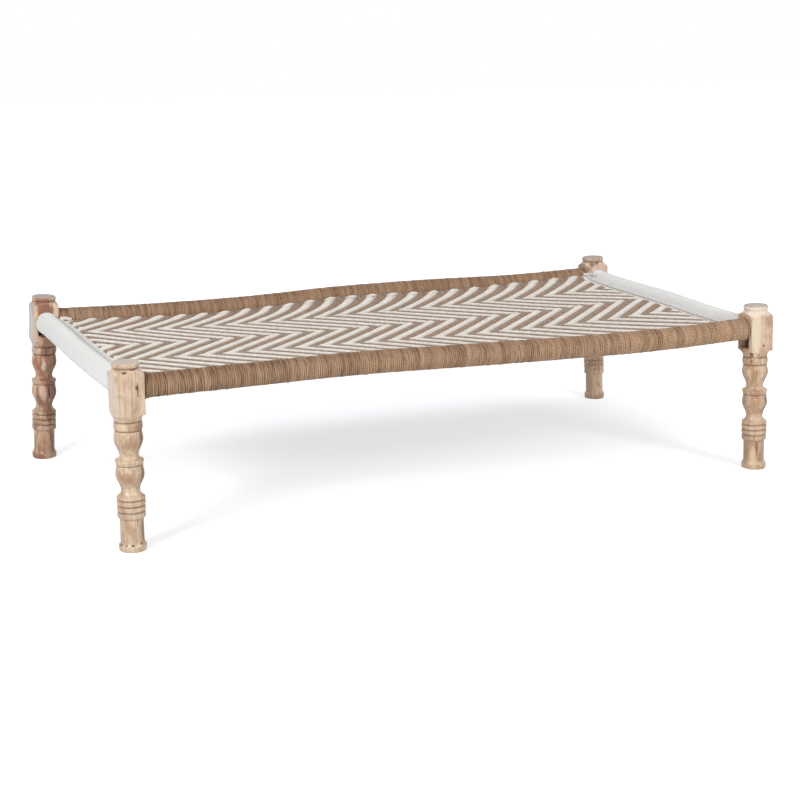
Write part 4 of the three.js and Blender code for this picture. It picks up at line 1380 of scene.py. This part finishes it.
# Each lamp's place, the point that it faces, its width and length, and its power.
LAMPS = {
    "lamp_left": ((-3.8, -2.5, 2.5), (0, 0, 0.3), (1.3, 1.2), 108),
    "lamp_right": ((1.9, -4.2, 2.4), (0.6, 0, 0.3), (1.2, 1.2), 76),
    "lamp_top": ((0.2, 0.4, 3.6), (0, 0, 0.3), (2.6, 1.8), 32),
}

# The camera's place and its turn about X and Z in degrees, as fitted to the photograph, and its
# lens and sensor in millimetres.
CAMERA_PLACE, CAMERA_TILT, CAMERA_TURN = (-1.8555, -4.2829, 1.3368), 76.05, -23.593
CAMERA_LENS, CAMERA_SENSOR = 77.82, 36


def floor_material():
    """Pale floor: to the camera it also glows a little, more away from the bed, so that it is
    white where light falls on it and keeps pale shadows."""
    material, tree, surface, place = new_material("floor")
    surface.inputs["Roughness"].default_value = 0.9
    surface.inputs["Specular IOR Level"].default_value = 0.1
    speck = tree.noise(place, 3.0, 2.0)
    colour = tree.mix(speck, (0.88, 0.885, 0.90, 1), (0.90, 0.905, 0.92, 1))
    tree.join(colour, surface.inputs["Base Color"])
    path = tree.add("ShaderNodeLightPath")
    far = tree.add("ShaderNodeVectorMath", {0: place}, operation="LENGTH").outputs["Value"]
    glow = tree.ramp(far, 1.0, 2.6, 0.55, 0.78)
    surface.inputs["Emission Color"].default_value = (0.95, 0.965, 1.0, 1)
    strength = tree.math("MULTIPLY", path.outputs["Is Camera Ray"], glow)
    tree.join(strength, surface.inputs["Emission Strength"])
    return material


def area_lamp(name, place, target, size, power):
    """A square lamp at a place, turned to face a target."""
    lamp = bpy.data.lights.new(name, "AREA")
    lamp.shape = "RECTANGLE"
    lamp.size, lamp.size_y = size
    lamp.energy = power
    obj = bpy.data.objects.new(name, lamp)
    bpy.context.scene.collection.objects.link(obj)
    obj.location = place
    way = np.asarray(target, float) - np.asarray(place, float)
    obj.rotation_euler = Vector(way).to_track_quat("-Z", "Y").to_euler()
    return obj


class CHARPAI_OT_stage(bpy.types.Operator):
    """Sets the floor, the lamps, the white surroundings and the camera"""

    bl_idname = "charpai.stage"
    bl_label = "Stage"

    def execute(self, context):
        scene = context.scene
        mesh = bpy.data.meshes.new("floor")
        signs = ((-1, -1), (1, -1), (1, 1), (-1, 1))
        corners = [(x * FLOOR_REACH, y * FLOOR_REACH, 0) for x, y in signs]
        mesh.from_pydata(corners, [], [(0, 1, 2, 3)])
        mesh.materials.append(floor_material())
        floor = bpy.data.objects.new("floor", mesh)
        scene.collection.objects.link(floor)

        world = bpy.data.worlds.new("studio")
        world.use_nodes = True
        tree = Tree(world.node_tree)
        world.node_tree.nodes.clear()
        path = tree.add("ShaderNodeLightPath")
        white = tree.add("ShaderNodeBackground", {"Color": (1, 1, 1, 1), "Strength": 1.0})
        soft = tree.add(
            "ShaderNodeBackground", {"Color": (0.97, 0.98, 1.0, 1), "Strength": 0.37},
        )
        seen = tree.math("MAXIMUM", path.outputs["Is Camera Ray"], path.outputs["Is Glossy Ray"])
        joined = tree.add("ShaderNodeMixShader", {
            0: seen, 1: soft.outputs[0], 2: white.outputs[0],
        })
        tree.add("ShaderNodeOutputWorld", {"Surface": joined.outputs[0]})
        scene.world = world

        for name, settings in LAMPS.items():
            area_lamp(name, *settings)

        camera = bpy.data.cameras.new("camera")
        camera.sensor_width = CAMERA_SENSOR
        camera.lens = CAMERA_LENS
        camera.clip_end = 60
        eye = bpy.data.objects.new("camera", camera)
        scene.collection.objects.link(eye)
        eye.location = CAMERA_PLACE
        eye.rotation_euler = (math.radians(CAMERA_TILT), 0, math.radians(CAMERA_TURN))
        scene.camera = eye
        scene.view_settings.view_transform = "Standard"
        return {"FINISHED"}


class CHARPAI_PT_panel(bpy.types.Panel):
    """Lists the charpai's sizes, colours and pieces"""

    bl_label = "Charpai"
    bl_idname = "CHARPAI_PT_panel"
    bl_space_type = "VIEW_3D"
    bl_region_type = "UI"
    bl_category = "Charpai"

    def draw(self, context):
        layout = self.layout
        scene = context.scene
        for group in (scene.charpai_frame, scene.charpai_cords, scene.charpai_colours):
            box = layout.box()
            for key in group.__annotations__:
                box.prop(group, key)
        for operator in OPERATORS:
            layout.operator(operator.bl_idname)


OPERATORS = (
    CHARPAI_OT_stage, CHARPAI_OT_legs, CHARPAI_OT_poles, CHARPAI_OT_windings, CHARPAI_OT_weave,
    CHARPAI_OT_tie,
)
CLASSES = (CharpaiFrameSizes, CharpaiCordSizes, CharpaiColours, *OPERATORS, CHARPAI_PT_panel)


def register():
    for item in CLASSES:
        bpy.utils.register_class(item)
    bpy.types.Scene.charpai_frame = PointerProperty(type=CharpaiFrameSizes)
    bpy.types.Scene.charpai_cords = PointerProperty(type=CharpaiCordSizes)
    bpy.types.Scene.charpai_colours = PointerProperty(type=CharpaiColours)


def unregister():
    for key in ("charpai_frame", "charpai_cords", "charpai_colours"):
        delattr(bpy.types.Scene, key)
    for item in reversed(CLASSES):
        bpy.utils.unregister_class(item)


def main():
    register()
    bpy.ops.charpai.stage()
    bpy.ops.charpai.legs()
    bpy.ops.charpai.poles()
    bpy.ops.charpai.windings()
    bpy.ops.charpai.weave()
    bpy.ops.charpai.tie()


if __name__ == "__main__":
    main()
